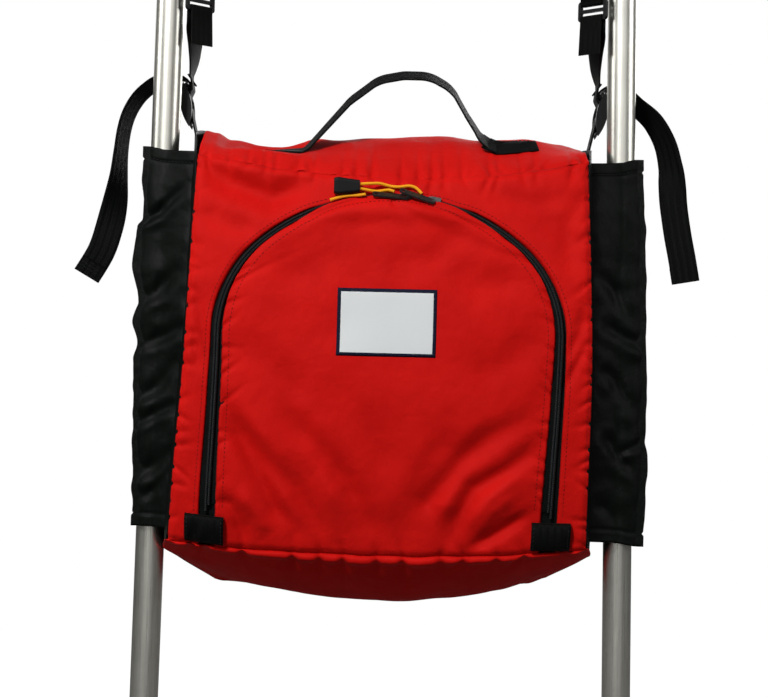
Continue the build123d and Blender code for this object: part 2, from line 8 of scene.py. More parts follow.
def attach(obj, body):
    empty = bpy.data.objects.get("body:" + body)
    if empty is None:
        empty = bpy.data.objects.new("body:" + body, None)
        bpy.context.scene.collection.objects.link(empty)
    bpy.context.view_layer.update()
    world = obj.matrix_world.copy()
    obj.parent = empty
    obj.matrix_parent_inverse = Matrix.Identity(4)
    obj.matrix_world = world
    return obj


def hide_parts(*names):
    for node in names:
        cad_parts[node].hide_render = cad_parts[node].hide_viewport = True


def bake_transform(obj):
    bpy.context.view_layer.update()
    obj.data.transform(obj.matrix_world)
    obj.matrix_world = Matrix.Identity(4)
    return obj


# Dresses the handlebar and its bag. Shapes are worked out in millimetres in the frame's axes:
# X across the sled, -Y towards the driver, +Z up. Meshes are made in metres.

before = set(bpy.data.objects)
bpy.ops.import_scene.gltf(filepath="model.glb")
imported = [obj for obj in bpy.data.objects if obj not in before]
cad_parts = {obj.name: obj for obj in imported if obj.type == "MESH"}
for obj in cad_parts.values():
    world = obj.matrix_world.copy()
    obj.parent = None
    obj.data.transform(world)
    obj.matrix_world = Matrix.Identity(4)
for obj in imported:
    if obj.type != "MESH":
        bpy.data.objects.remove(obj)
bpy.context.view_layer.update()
MM = 0.001

# Camera
image_width = 768
focal_px = 1935.0
camera_distance = 1728.0
camera_x = -3.8
camera_z = 421.0
camera_roll = 1.39

# Handlebar tubes
tube_radius = 12.7
crossbar_z = 800.0
upright_half_spacing = 212.3
upright_lean = 0.85

# Bag: its side profile, and its half width at the front's top and bottom seams
front_y, back_y = -60.0, 60.0
front_bottom_z, front_top_z = 246.0, 584.0
front_bulge, back_bulge = 18.0, 8.0
half_width_top, half_width_bottom = 169.0, 181.0
gusset_flare = 9.0
sides = (("left", -1), ("right", 1))
cloth_thickness = 1.3

# Seams above and below the front: height at the middle and how much higher the ends are
top_seam, bottom_seam = (568.0, 18.0), (241.5, 9.0)
# Length of cloth from the front's seams to the back, across the top or the underside
panel_run = 130.0
# How far the bag's lower part hangs over, the height where that begins and the drop over which it grows
sway_x, sway_start, sway_drop = -6.0, 440.0, 200.0

# Arched flap: the line of the zip in front view
zip_half_width = 147.0
shoulder_radius = 105.0
shoulder_z = 431.0
shoulder_angle = 50.0
flap_fold_z = 277.5
inner_x = zip_half_width - shoulder_radius
crown_centre_z = shoulder_z - inner_x * math.tan(math.radians(shoulder_angle))
crown_radius = shoulder_radius + inner_x / math.cos(math.radians(shoulder_angle))
crown_z = crown_centre_z + crown_radius

# Label and end tabs
label_width, label_height = 85.0, 58.0
label_centre = (-2.0, 443.0)
tab_width, tab_bottom_z, tab_top_z = 34.0, 249.5, 274.5
tab_tilts = {"left": -0.10, "right": 0.0}
tab_out, tab_lift, tab_roll = 2.0, 2.6, 4.2
label_lift = 1.0

# Zip: its tapes, and the spiral of its coil
tape_gap, tape_width, tape_lift, tape_thickness = 0.3, 11.0, 2.4, 0.7
coil_pitch, coil_radius, coil_lift = 1.5, 1.25, 0.5

# Webbing
web_width, web_thickness, seat_gap = 25.0, 1.6, 0.3
# Distance from a surface to the middle of webbing that lies on it
web_lift = web_thickness / 2 + seat_gap

# Cords, as x, y and height above the zip's crown
cord_diameter = 2.6
upper_cord = [
    (25.2, -70.8, 3.1),
    (22.0, -69.4, 7.3),
    (15.5, -68.8, 10.1),
    (6.2, -68.4, 8.3),
    (-2.5, -68.6, 8.9),
    (-10.5, -69.8, 11.3),
    (-19.0, -71.0, 10.7),
    (-27.6, -71.5, 10.0),
]
lower_cord = [
    (1.8, -70.2, 4.3),
    (-1.8, -69.0, 5.9),
    (-6.0, -68.6, 5.5),
    (-12.5, -68.6, 4.1),
    (-20.0, -70.3, 4.9),
    (-27.6, -71.5, 6.2),
]
under_cord = [
    (-22.6, -72.6, 1.3),
    (-29.0, -71.0, 0.3),
    (-36.5, -70.6, 0.1),
    (-45.0, -71.0, -1.5),
    (-53.0, -71.6, -4.3),
]

# Carry handle
handle_half_span, handle_sewn, handle_rise = 78.0, 50.0, 66.0
# Where its ends lie from the front's seam to the back, and its lean where it is free
handle_share, handle_lean = 0.42, 0.42

# Sleeves' hems
hem_depth = 11.5

# Straps: ladder lock, slide buckle and the loop over the crossbar
strap_y = 31.0
lock_bottom, lock_top = (184.5, 617.0), (190.5, 657.0)
lock_bar = 3.2
anchor_bar_at, strap_bar_at, lip_bar_at = 16.0, 27.5, 38.0
bar_set_in, lip_set_in = 1.0, 2.4
slide_x, slide_z, slide_turn = 175.5, 727.0, -42.0
slide_height, slide_thickness, slide_bar = 18.0, 3.2, 3.0
loop_x = 171.0
sewn_lead, sewn_end_length = 5.0, 32.0
tail_fold_height = 16.0
loop_radius = tube_radius + web_lift

# Each strap's free end, as on the right side: x from the upright's foot, y, z from the lock's top, turn
tail_routes = {
    "left": [
        (-24.7, 31.0, 2.8, 0),
        (-18.3, 31.0, 5.4, 4),
        (-9.3, 31.0, 5.6, 10),
        (-0.3, 31.0, 2.8, 16),
        (8.2, 31.0, -2.4, 20),
        (19.7, 31.0, -13.4, 21),
        (27.9, 30.0, -28.0, 21),
        (32.3, 29.0, -44.5, 21),
        (34.5, 28.0, -65.0, 23),
        (35.7, 26.0, -87.0, 33),
        (38.1, 24.0, -110.0, 56),
        (42.7, 22.0, -133.5, 80),
        (49.3, 20.0, -155.0, 80),
        (61.7, 19.0, -177.0, 80),
    ],
    "right": [
        (-24.7, 31.0, 2.4, 0),
        (-18.3, 31.0, 4.6, 6),
        (-9.3, 31.0, 3.4, 16),
        (-0.3, 31.0, -2.4, 25),
        (8.2, 31.0, -10.8, 31),
        (23.3, 30.0, -24.6, 38),
        (34.3, 29.0, -44.0, 43),
        (39.7, 28.0, -65.0, 52),
        (41.3, 26.0, -81.0, 72),
        (42.9, 24.0, -101.0, 88),
        (46.5, 21.0, -126.0, 90),
        (50.9, 19.0, -149.0, 90),
        (54.7, 18.0, -170.0, 90),
    ],
}


# Small maths


def smooth(t):
    """0 below t 0, 1 above t 1 and a soft step between."""
    t = min(max(t, 0.0), 1.0)
    return t * t * (3 - 2 * t)


def along_table(table, x):
    """Value at x of a table of (x, value), run through smoothly."""
    if x <= table[0][0]:
        return table[0][1]
    for (x0, v0), (x1, v1) in zip(table, table[1:]):
        if x <= x1:
            return v0 + (v1 - v0) * smooth((x - x0) / (x1 - x0))
    return table[-1][1]


def grain(x, y, z, size):
    """Smooth noise from about -1 to 1, with lumps of the given size."""
    return 2 * noise.noise(Vector((x / size, y / size, z / size)))


def fold(x, z, line, depth, width):
    """Depth at (x, z) of a soft crease along a polyline of (x, z), fading out at both its ends."""
    best = 0.0
    count = len(line) - 1
    for i in range(count):
        (ax, az), (bx, bz) = line[i], line[i + 1]
        run = max(math.hypot(bx - ax, bz - az), 1e-6)
        t = ((x - ax) * (bx - ax) + (z - az) * (bz - az)) / run**2
        t = min(max(t, 0.0), 1.0)
        off = math.hypot(x - ax - t * (bx - ax), z - az - t * (bz - az))
        share = (i + t) / count
        fade = smooth(share / 0.3) * smooth((1 - share) / 0.3)
        best = max(best, math.exp(-((off / width) ** 2)) * (0.15 + 0.85 * fade))
    return depth * best


def tucks(along, off, pitch, reach, seed):
    """Height, about 0 to 1, of uneven small pinches off a seam, at a place along it and off it."""
    total = 0.0
    first = math.floor(along / pitch)
    for k in range(first - 1, first + 3):
        place = (k + 0.9 * noise.noise(Vector((k * 1.73 + 0.4, seed, 0.3)))) * pitch
        run = reach * (1 + 1.4 * noise.noise(Vector((k * 2.31 + 0.6, seed, 5.1))))
        lean = 1.3 * noise.noise(Vector((k * 1.19 + 0.2, seed, 9.7)))
        beside = (along - place - lean * off) / (0.13 * pitch + 0.10 * off)
        total += math.exp(-(beside**2)) * math.exp(-((off / run) ** 2))
    return total


def filleted(points, radii, step=0.5):
    """Points along a polyline in the plane with a round bend at each inner corner."""
    vectors = [Vector(p) for p in points]
    out = [vectors[0]]
    for i, radius in enumerate(radii, start=1):
        corner = vectors[i]
        a = (vectors[i - 1] - corner).normalized()
        b = (vectors[i + 1] - corner).normalized()
        half = math.acos(max(-1.0, min(1.0, a.dot(b)))) / 2
        leg = radius / math.tan(half)
        centre = corner + (a + b).normalized() * (radius / math.sin(half))
        start, end = corner + a * leg - centre, corner + b * leg - centre
        sweep = math.pi - 2 * half
        count = max(2, int(sweep * radius / step))
        turn = math.copysign(sweep, start.x * end.y - start.y * end.x)
        for k in range(count + 1):
            angle = turn * k / count
            c, s = math.cos(angle), math.sin(angle)
            out.append(centre + Vector((start.x * c - start.y * s, start.x * s + start.y * c)))
    out.append(vectors[-1])
    return [(p.x, p.y) for p in out]


def resampled(values, step):
    """Rows of numbers run through by a smooth curve, at about the given step along their first three."""
    values = [np.array(v, dtype=float) for v in values]
    rows = []
    for i in range(len(values) - 1):
        p0 = values[max(i - 1, 0)]
        p1, p2 = values[i], values[i + 1]
        p3 = values[min(i + 2, len(values) - 1)]
        count = max(1, int(np.linalg.norm(p2[:3] - p1[:3]) / step))
        for k in range(count):
            t = k / count
            rows.append(0.5 * (
                2 * p1
                + (p2 - p0) * t
                + (2 * p0 - 5 * p1 + 4 * p2 - p3) * t**2
                + (3 * p1 - p0 - 3 * p2 + p3) * t**3
            ))
    rows.append(values[-1])
    return rows


# Materials: every colour is linear


class Tree:
    """A node tree with short ways to add to it. An input's value is a socket to link or a constant."""

    def __init__(self, owner):
        owner.use_nodes = True
        self.owner = owner
        self.nodes, self.links = owner.node_tree.nodes, owner.node_tree.links

    def fill(self, inputs, values):
        """Gives inputs, by name or number, their values."""
        for key, value in values.items():
            if isinstance(value, bpy.types.NodeSocket):
                self.links.new(value, inputs[key])
            else:
                inputs[key].default_value = value

    def add(self, kind, values, **settings):
        """A node with its settings and its inputs' values."""
        node = self.nodes.new("ShaderNode" + kind)
        for key, value in settings.items():
            setattr(node, key, value)
        self.fill(node.inputs, values)
        return node

    def place(self, kind="Object"):
        """Texture coordinates of a kind."""
        return self.add("TexCoord", {}).outputs[kind]

    def uv(self):
        """The pieces' own UVs, in metres."""
        return self.add("UVMap", {}, uv_map="cloth").outputs["UV"]

    def axes(self, vector):
        """A vector's X, Y and Z."""
        return tuple(self.add("SeparateXYZ", {0: vector}).outputs)

    def math(self, operation, *values):
        """The result of one Math node."""
        return self.add("Math", dict(enumerate(values)), operation=operation).outputs[0]

    def wave(self, value, turns):
        """Sine of a value times a number of radians."""
        return self.math("SINE", self.math("MULTIPLY", value, turns))

    def noise(self, vector, scale, detail):
        """A noise texture's factor."""
        return self.add("TexNoise", {"Vector": vector, "Scale": scale, "Detail": detail}).outputs["Fac"]

    def weave(self, per_metre):
        """Height of a plain weave with that many threads a metre."""
        x, y, _ = self.axes(self.uv())
        turns = math.pi * per_metre
        return self.math("MULTIPLY", self.wave(x, turns), self.wave(y, turns))

    def step(self, value, low, high, at_low, at_high):
        """A smooth step of a value between two numbers."""
        values = {"Value": value, "From Min": low, "From Max": high, "To Min": at_low, "To Max": at_high}
        return self.add("MapRange", values, interpolation_type="SMOOTHSTEP").outputs["Result"]

    def mix(self, factor, low, high):
        """A colour from low to high, by factor. Plain colours are three numbers."""
        low, high = (c if isinstance(c, bpy.types.NodeSocket) else (*c, 1) for c in (low, high))
        return self.add("Mix", {"Factor": factor, "A": low, "B": high}, data_type="RGBA").outputs["Result"]

    def finish(self, colour, bumps):
        """Gives the shader its colour and bumps (height, strength, distance in metres)."""
        last = {}
        for height, strength, distance in bumps:
            bump = self.add("Bump", {"Height": height, "Strength": strength, "Distance": distance, **last})
            last = {"Normal": bump.outputs["Normal"]}
        self.fill(self.shader, {"Base Color": colour, **last})
        return self.owner


def new_material(name, colour, roughness, **settings):
    """The tree of a new material, with the shader's plain values."""
    tree = Tree(bpy.data.materials.new(name))
    tree.shader = tree.nodes["Principled BSDF"].inputs
    tree.fill(tree.shader, {"Base Color": (*colour, 1), "Roughness": roughness})
    names = {
        "metallic": "Metallic", "sheen": "Sheen Weight",
        "sheen_roughness": "Sheen Roughness", "gloss": "Specular IOR Level",
    }
    tree.fill(tree.shader, {names[key]: value for key, value in settings.items()})
    return tree


def cloth_material(name, dark, light, roughness, threads, sheen, gloss):
    """Coated nylon: a fine weave, cloudy colour, creases and soft dents."""
    tree = new_material(name, light, roughness, sheen=sheen, sheen_roughness=0.4, gloss=gloss)
    place, weave = tree.place(), tree.weave(threads)
    cloud, fleck = tree.noise(place, 28.0, 3.0), tree.noise(place, 900.0, 1.0)
    shade = tree.math("ADD", tree.math("MULTIPLY", cloud, 0.7), tree.math("MULTIPLY", fleck, 0.3))
    shade = tree.math("ADD", shade, tree.math("MULTIPLY", weave, 0.10))
    creases, dents = tree.noise(place, 38.0, 3.0), tree.noise(place, 120.0, 2.0)
    bumps = [(creases, 0.45, 0.004), (dents, 0.3, 0.0012), (weave, 0.35, 0.00012)]
    return tree.finish(tree.mix(shade, dark, light), bumps)


def webbing_material(name, dark, light):
    """Woven strap: ribs across it in a herringbone. The UVs' X is across it."""
    tree = new_material(name, light, 0.62, gloss=0.08, sheen=0.008, sheen_roughness=0.5)
    column, rib = 0.0031, 0.0016
    x, y, _ = tree.axes(tree.uv())
    ribs = tree.wave(tree.math("ADD", y, tree.math("PINGPONG", x, column)), 2 * math.pi / rib)
    columns = tree.wave(x, 2 * math.pi / column)
    height = tree.math("ADD", ribs, tree.math("MULTIPLY", columns, 0.5))
    share = tree.math("MULTIPLY_ADD", height, 0.22, 0.5)
    return tree.finish(tree.mix(share, dark, light), [(height, 0.5, 0.00022)])


def tube_material():
    """Drawn aluminium: bright, with long fine scratches and small scuffs."""
    tree = new_material("drawn_aluminium", (0.80, 0.79, 0.76), 0.36, metallic=1.0)
    place = tree.place()
    drawn = tree.add("Mapping", {"Vector": place, "Scale": (1.0, 1.0, 0.012)}).outputs["Vector"]
    lines, scuffs = tree.noise(drawn, 1400.0, 3.0), tree.noise(place, 60.0, 4.0)
    tree.fill(tree.shader, {"Roughness": tree.math("MULTIPLY_ADD", lines, 0.24, 0.19)})
    shade = tree.math("MULTIPLY", tree.math("ADD", lines, scuffs), 0.5)
    colour = tree.mix(shade, (0.62, 0.61, 0.55), (0.95, 0.94, 0.85))
    return tree.finish(colour, [(lines, 0.12, 0.0001), (scuffs, 0.05, 0.0005)])


def plastic_material(name, colour, roughness):
    """Moulded plastic with a fine spark-eroded texture."""
    tree = new_material(name, colour, roughness, gloss=0.13)
    place = tree.place()
    pits, patches = tree.noise(place, 2400.0, 1.0), tree.noise(place, 90.0, 2.0)
    tree.fill(tree.shader, {"Roughness": tree.math("MULTIPLY_ADD", patches, 0.15, roughness - 0.07)})
    brighter = [1.7 * c for c in colour]
    return tree.finish(tree.mix(patches, colour, brighter), [(pits, 0.15, 0.0001)])


def slider_material():
    """Grey painted zip metal, rubbed bright in patches."""
    tree = new_material("slider_metal", (0.2, 0.2, 0.21), 0.35, metallic=0.85)
    wear = tree.noise(tree.place(), 420.0, 3.0)
    colour = tree.mix(wear, (0.016, 0.016, 0.018), (0.11, 0.105, 0.10))
    return tree.finish(colour, [(wear, 0.1, 0.0002)])


def cord_material():
    """Braided cord: slanting strands both ways round it."""
    tree = new_material("braided_cord", (0.86, 0.42, 0.02), 0.55, sheen=0.02, gloss=0.2)
    x, _, z = tree.axes(tree.place())
    rising, falling = (tree.wave(tree.math(way, x, z), 5200.0) for way in ("ADD", "SUBTRACT"))
    strands = tree.math("MULTIPLY", rising, falling)
    share = tree.math("MULTIPLY_ADD", strands, 0.3, 0.6)
    colour = tree.mix(share, (0.74, 0.27, 0.004), (1.0, 0.46, 0.006))
    return tree.finish(colour, [(strands, 0.4, 0.0002)])


def thread_material(name, dark, light):
    """Sewing thread: two strands twisted together."""
    tree = new_material(name, light, 0.6, gloss=0.15)
    x, y, _ = tree.axes(tree.uv())
    strands = tree.wave(tree.math("ADD", x, y), 2 * math.pi / 0.0007)
    share = tree.math("MULTIPLY_ADD", strands, 0.4, 0.5)
    return tree.finish(tree.mix(share, dark, light), [(strands, 0.3, 0.0001)])


def label_material():
    """Blank woven label: pale satin ground with a navy edge. The UVs start at its lower left corner."""
    tree = new_material("label_cloth", (0.75, 0.77, 0.77), 0.6, gloss=0.12)
    weave = tree.weave(3200)
    x, y, _ = tree.axes(tree.uv())
    rims = []
    for place, size in ((x, label_width), (y, label_height)):
        rims.append(tree.math("MINIMUM", place, tree.math("SUBTRACT", size * MM, place)))
    ragged = tree.math("MULTIPLY_ADD", weave, 0.00012, tree.math("MINIMUM", *rims))
    border = tree.math("LESS_THAN", ragged, 0.0031)
    shade = tree.math("MULTIPLY_ADD", weave, 0.2, 0.7)
    ground = tree.mix(shade, (0.60, 0.63, 0.64), (0.80, 0.82, 0.82))
    colour = tree.mix(border, ground, (0.006, 0.009, 0.026))
    return tree.finish(colour, [(weave, 0.3, 0.00012), (border, 0.4, 0.0003)])


black = ((0.0008, 0.0016, 0.0010), (0.0022, 0.0036, 0.0024))
tape = ((0.0025, 0.0032, 0.0032), (0.0065, 0.0075, 0.0075))
materials = {
    "red": cloth_material("red_nylon", (0.46, 0.003, 0.0025), (0.72, 0.009, 0.006), 0.62, 2400, 0.01, 0.06),
    "black": cloth_material("black_nylon", *black, 0.46, 2400, 0.003, 0.11),
    "webbing": webbing_material("black_webbing", (0.0006, 0.0009, 0.0007), (0.0022, 0.0030, 0.0024)),
    "tape": cloth_material("zip_tape", *tape, 0.65, 1600, 0.01, 0.06),
    "coil": plastic_material("zip_coil", (0.007, 0.008, 0.0085), 0.42),
    "tube": tube_material(),
    "cap": plastic_material("black_cap", (0.018, 0.018, 0.02), 0.5),
    "buckle": plastic_material("black_acetal", (0.007, 0.007, 0.0075), 0.36),
    "grip": plastic_material("black_grip", (0.004, 0.004, 0.0045), 0.5),
    "slider": slider_material(),
    "cord": cord_material(),
    "label": label_material(),
    "red_thread": thread_material("red_thread", (0.16, 0.002, 0.002), (0.34, 0.004, 0.004)),
    "black_thread": thread_material("black_thread", (0.006, 0.007, 0.007), (0.02, 0.022, 0.022)),
    "navy_thread": thread_material("navy_thread", (0.004, 0.006, 0.02), (0.012, 0.018, 0.05)),
}


# Making pieces


def lengths(a, b, count):
    """count + 1 numbers from a to b."""
    return [a + (b - a) * k / count for k in range(count + 1)]


def sway(z):
    """How far the bag's lower part hangs over at a height."""
    return sway_x * smooth((sway_start - z) / sway_drop)


def hung(piece):
    """Moves a piece of the bag over by the sway."""
    for vertex in piece.data.vertices:
        vertex.co.x += sway(vertex.co.z / MM) * MM
    return piece


def put(name, data):
    """A new object in the scene."""
    thing = bpy.data.objects.new(name, data)
    bpy.context.scene.collection.objects.link(thing)
    return thing


def piece_from(name, verts, faces, uvs, look, body, nodes=()):
    """A mesh piece from points in millimetres, riding on a body and standing for CAD nodes."""
    mesh = bpy.data.meshes.new(name)
    mesh.from_pydata([(x * MM, y * MM, z * MM) for x, y, z in verts], [], faces)
    layer = mesh.uv_layers.new(name="cloth")
    for loop in mesh.loops:
        u, v = uvs[loop.vertex_index]
        layer.data[loop.index].uv = (u * MM, v * MM)
    mesh.polygons.foreach_set("use_smooth", [True] * len(mesh.polygons))
    mesh.materials.append(materials[look])
    piece = put(name, mesh)
    if body:
        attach(piece, body)
    if nodes:
        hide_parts(*nodes)
    return piece


def grid_faces(rows, columns, first=0, closed=False, flip=False):
    """Faces of a grid of points laid out row by row; closed joins its last column to its first."""
    faces = []
    for r in range(rows - 1):
        here, there = first + r * columns, first + (r + 1) * columns
        for c in range(columns if closed else columns - 1):
            d = (c + 1) % columns
            quad = (here + c, here + d, there + d, there + c)
            faces.append(quad[::-1] if flip else quad)
    return faces


def grid_of(rows, columns, place):
    """A grid of (point, uv), which place gives for each row's and column's value."""
    return [[place(r, c) for c in columns] for r in rows]


def cloth_piece(name, grids, body, nodes, look="red", thickness=cloth_thickness, flip=False):
    """Cloth made of grids of (point, uv), welded where they meet, with its thickness behind its face."""
    verts, uvs, faces = [], [], []
    for grid in grids:
        first = len(verts)
        for row in grid:
            for point, uv in row:
                verts.append(tuple(point))
                uvs.append(uv)
        faces += grid_faces(len(grid), len(grid[0]), first, flip=flip)
    piece = piece_from(name, verts, faces, uvs, look, body, nodes)
    weld = piece.modifiers.new("weld", "WELD")
    weld.merge_threshold = 0.00002
    solid = piece.modifiers.new("thickness", "SOLIDIFY")
    solid.thickness = thickness * MM
    solid.offset = -1
    return piece


def web_section():
    """Outline of the webbing's cross-section as (across, through), with soft edges."""
    half, deep, soft = web_width / 2, web_thickness / 2, 0.7
    upper = [(across, deep) for across in lengths(-half + soft, half - soft, 8)]
    upper += [(half - 0.2 * soft, 0.7 * deep), (half, 0), (half - 0.2 * soft, -0.7 * deep)]
    return upper + [(-across, -through) for across, through in upper]


def web_mesh(spine, wides):
    """Points, faces and UVs of webbing along a spine, wides being its width's direction at each point."""
    outline = web_section()
    verts, uvs = [], []
    far = 0.0
    spine = [Vector(p) for p in spine]
    for i, centre in enumerate(spine):
        ahead, behind = spine[min(i + 1, len(spine) - 1)], spine[max(i - 1, 0)]
        along = (ahead - behind).normalized()
        wide = Vector(wides[i]).normalized()
        wide = (wide - along * wide.dot(along)).normalized()
        out = wide.cross(along)
        if i:
            far += (centre - spine[i - 1]).length
        for across, through in outline:
            verts.append(tuple(centre + wide * across + out * through))
            uvs.append((across + web_width / 2, far))
    count = len(outline)
    last = (len(spine) - 1) * count
    faces = grid_faces(len(spine), count, closed=True)
    faces.append(tuple(range(count)))
    faces.append(tuple(last + k for k in reversed(range(count))))
    return verts, faces, uvs


def mirrored(length, sign):
    """A length of webbing (spine, wides) as on the right side, or its mirror image for the left."""
    return tuple([Vector((sign * v.x, v.y, v.z)) for v in vectors] for vectors in length)


def web_piece(name, runs, nodes, sign=1):
    """Webbing made of one or more lengths (spine, wides) of the right side, or their mirror image."""
    verts, faces, uvs = [], [], []
    for run in runs:
        more, quads, places = web_mesh(*mirrored(run, sign))
        first = len(verts)
        verts += more
        uvs += places
        faces += [tuple(first + k for k in quad) for quad in quads]
    return piece_from(name, verts, faces, uvs, "webbing", "handlebar", nodes)


def turned_width(along, turn):
    """Direction of webbing's width where it runs along a direction, turned away from Y by turn degrees."""
    along = along.normalized()
    across = Vector((0, 1, 0)).cross(along).normalized()
    level = (Vector((0, 1, 0)) - along * along.y).normalized()
    angle = math.radians(turn)
    return level * math.cos(angle) + across * math.sin(angle)


def route_length(stations):
    """Spine and width directions of webbing through stations (x, y, z, turn)."""
    rows = resampled(stations, 1.5)
    spine = [Vector(r[:3]) for r in rows]
    wides = []
    for i, row in enumerate(rows):
        along = spine[min(i + 1, len(spine) - 1)] - spine[max(i - 1, 0)]
        wides.append(turned_width(along, row[3]))
    return spine, wides


# Camera, floor and light


def make_camera():
    """The photograph's camera: level, in front of the bag and rolled a little."""
    data = bpy.data.cameras.new("camera")
    data.sensor_width = 36.0
    data.lens = data.sensor_width * focal_px / image_width
    camera = put("camera", data)
    camera.location = (camera_x * MM, -camera_distance * MM, camera_z * MM)
    camera.rotation_euler = (math.radians(90), math.radians(-camera_roll), 0)
    bpy.context.scene.camera = camera
    bpy.context.scene.view_settings.view_transform = "Standard"


def make_floor():
    """A plain floor: white to the camera, with a faint shadow, and throwing little light upwards."""
    mesh = bpy.data.meshes.new("floor")
    size = 30.0
    corners = [(-size, -size, 0), (size, -size, 0), (size, size, 0), (-size, size, 0)]
    mesh.from_pydata(corners, [], [(0, 1, 2, 3)])
    dim, pale = (0.12, 0.12, 0.118), (0.85, 0.85, 0.84)
    near, far = 0.4, 1.2
    tree = new_material("floor", dim, 0.9)
    away = tree.add("VectorMath", {0: tree.place()}, operation="LENGTH").outputs["Value"]
    seen = tree.add("LightPath", {}).outputs["Is Camera Ray"]
    strength = tree.step(away, near, far, 1.27, 1.0)
    glow = tree.add("Emission", {"Color": (1, 1, 1, 1), "Strength": strength})
    share = tree.math("MULTIPLY", seen, tree.step(away, near, far, 0.7, 1.0))
    tree.fill(tree.shader, {"Base Color": tree.mix(seen, dim, pale)})
    plain = tree.nodes["Principled BSDF"].outputs[0]
    mix = tree.add("MixShader", {0: share, 1: plain, 2: glow.outputs[0]})
    tree.fill(tree.nodes["Material Output"].inputs, {"Surface": mix.outputs[0]})
    mesh.materials.append(tree.owner)
    floor = put("floor", mesh)


def make_world():
    """White to the camera. Metal sees it bright in front, behind and above, and dark beside and below."""
    world = bpy.data.worlds.new("world")
    tree = Tree(world)
    seen = tree.add("LightPath", {}).outputs
    direct = tree.math("MAXIMUM", seen["Is Camera Ray"], seen["Is Transmission Ray"])
    x, _, z = tree.axes(tree.place("Generated"))
    aside = tree.step(tree.math("ABSOLUTE", x), 0.35, 0.75, 1.0, 0.0)
    above = tree.step(z, -0.14, 0.12, 0.02, 1.0)
    high = tree.step(z, 0.25, 0.6, 1.0, 0.2)
    panel = tree.math("MULTIPLY", aside, tree.math("MULTIPLY", above, high))
    glossy = tree.math("MULTIPLY", seen["Is Glossy Ray"], panel)
    fill = tree.step(z, -0.4, 0.5, 0.03, 0.20)
    level = tree.math("MAXIMUM", tree.math("MAXIMUM", direct, glossy), fill)
    tree.fill(tree.nodes["Background"].inputs, {"Color": (1, 1, 1, 1), "Strength": level})
    bpy.context.scene.world = world


def make_lamps():
    """Soft lamps: one above the camera, a weak one each side and one behind."""
    middle = (0.0, 0.0, 0.42)
    lamps = (
        ("key", (-0.75, -1.85, 1.75), (0.0, 0.0, 0.38), 0.45, 46.0),
        ("left", (-2.0, -0.5, 1.2), middle, 1.0, 7.0),
        ("right", (2.0, -0.5, 1.1), middle, 1.0, 7.0),
        ("rear", (0.7, 2.0, 1.1), middle, 1.6, 20.0),
    )
    for name, place, target, size, power in lamps:
        data = bpy.data.lights.new(name, "AREA")
        data.shape = "DISK"
        data.size = size
        data.energy = power
        lamp = put(name, data)
        lamp.location = place
        lamp.rotation_euler = (Vector(target) - Vector(place)).to_track_quat("-Z", "Y").to_euler()


# Pull cords


def make_cords():
    """Three yellow pull cords that end in the grip or go back under the flap."""
    routes = (
        ("upper_pull", upper_cord, 0.056, "fitting", [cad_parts["pull_grip"]]),
        ("lower_pull", lower_cord, 0.0304, "object", []),
        ("under_pull", under_cord, 0.0313, "object", []),
    )
    for pull, points, length, far_end, carried in routes:
        name, node = f"{pull}_line", f"{pull}_cord"
        places = [(x * MM, y * MM, (crown_z + z) * MM) for x, y, z in points]
        curve = bpy.data.curves.new(name, "CURVE")
        curve.dimensions = "3D"
        curve.bevel_depth = cord_diameter * MM / 2
        curve.bevel_resolution = 6
        curve.resolution_u = 16
        curve.use_fill_caps = True
        spline = curve.splines.new("NURBS")
        spline.points.add(len(places) - 1)
        for control, place in zip(spline.points, places):
            control.co = (*place, 1)
        spline.order_u = 3
        spline.use_endpoint_u = True
        curve.materials.append(materials["cord"])
        cord = put(name, curve)
        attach(cord, "flap")
        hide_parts(node)
        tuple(places[0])


# Bag: where its cloth lies


def arc_push(chord, bulge, off):
    """How far an arc with that chord and bulge stands out at a distance from its middle."""
    radius = (chord**2 / 4 + bulge**2) / (2 * bulge)
    reach = math.sqrt(max(radius**2 - off**2, 0.0))
    return reach - (radius - bulge)


def half_width(z):
    """Half width of the bag at its front and back edges."""
    share = (z - front_bottom_z) / (front_top_z - front_bottom_z)
    return half_width_bottom + share * (half_width_top - half_width_bottom)


def seam_z(x, seam, half, seeds, size):
    """Height at x of a seam that sags or rises between its ends."""
    middle, rise = seam
    return middle + rise * (x / half) ** 2 + seeds[0] * grain(x, seeds[1], seeds[2], size)


def top_seam_z(x):
    """Height of the seam between the front and the top."""
    return seam_z(x, top_seam, half_width_top, (0.8, 3, 1), 22)


def bottom_seam_z(x):
    """Height of the seam between the front and the underside."""
    return seam_z(x, bottom_seam, half_width_bottom, (0.6, 9, 4), 26)


def zip_distance(x, z):
    """Distance outwards from the zip's line; negative on the flap."""
    if z <= shoulder_z:
        return abs(x) - zip_half_width
    angle = math.degrees(math.atan2(z - shoulder_z, max(abs(x) - inner_x, 1e-9)))
    if abs(x) > inner_x and angle <= shoulder_angle:
        return math.hypot(abs(x) - inner_x, z - shoulder_z) - shoulder_radius
    return math.hypot(x, z - crown_centre_z) - crown_radius


crown_length = math.radians(90 - shoulder_angle) * crown_radius
shoulder_length = math.radians(shoulder_angle) * shoulder_radius
# Length along the arch from its crown to the flap's fold
arch_end = crown_length + shoulder_length + shoulder_z - flap_fold_z


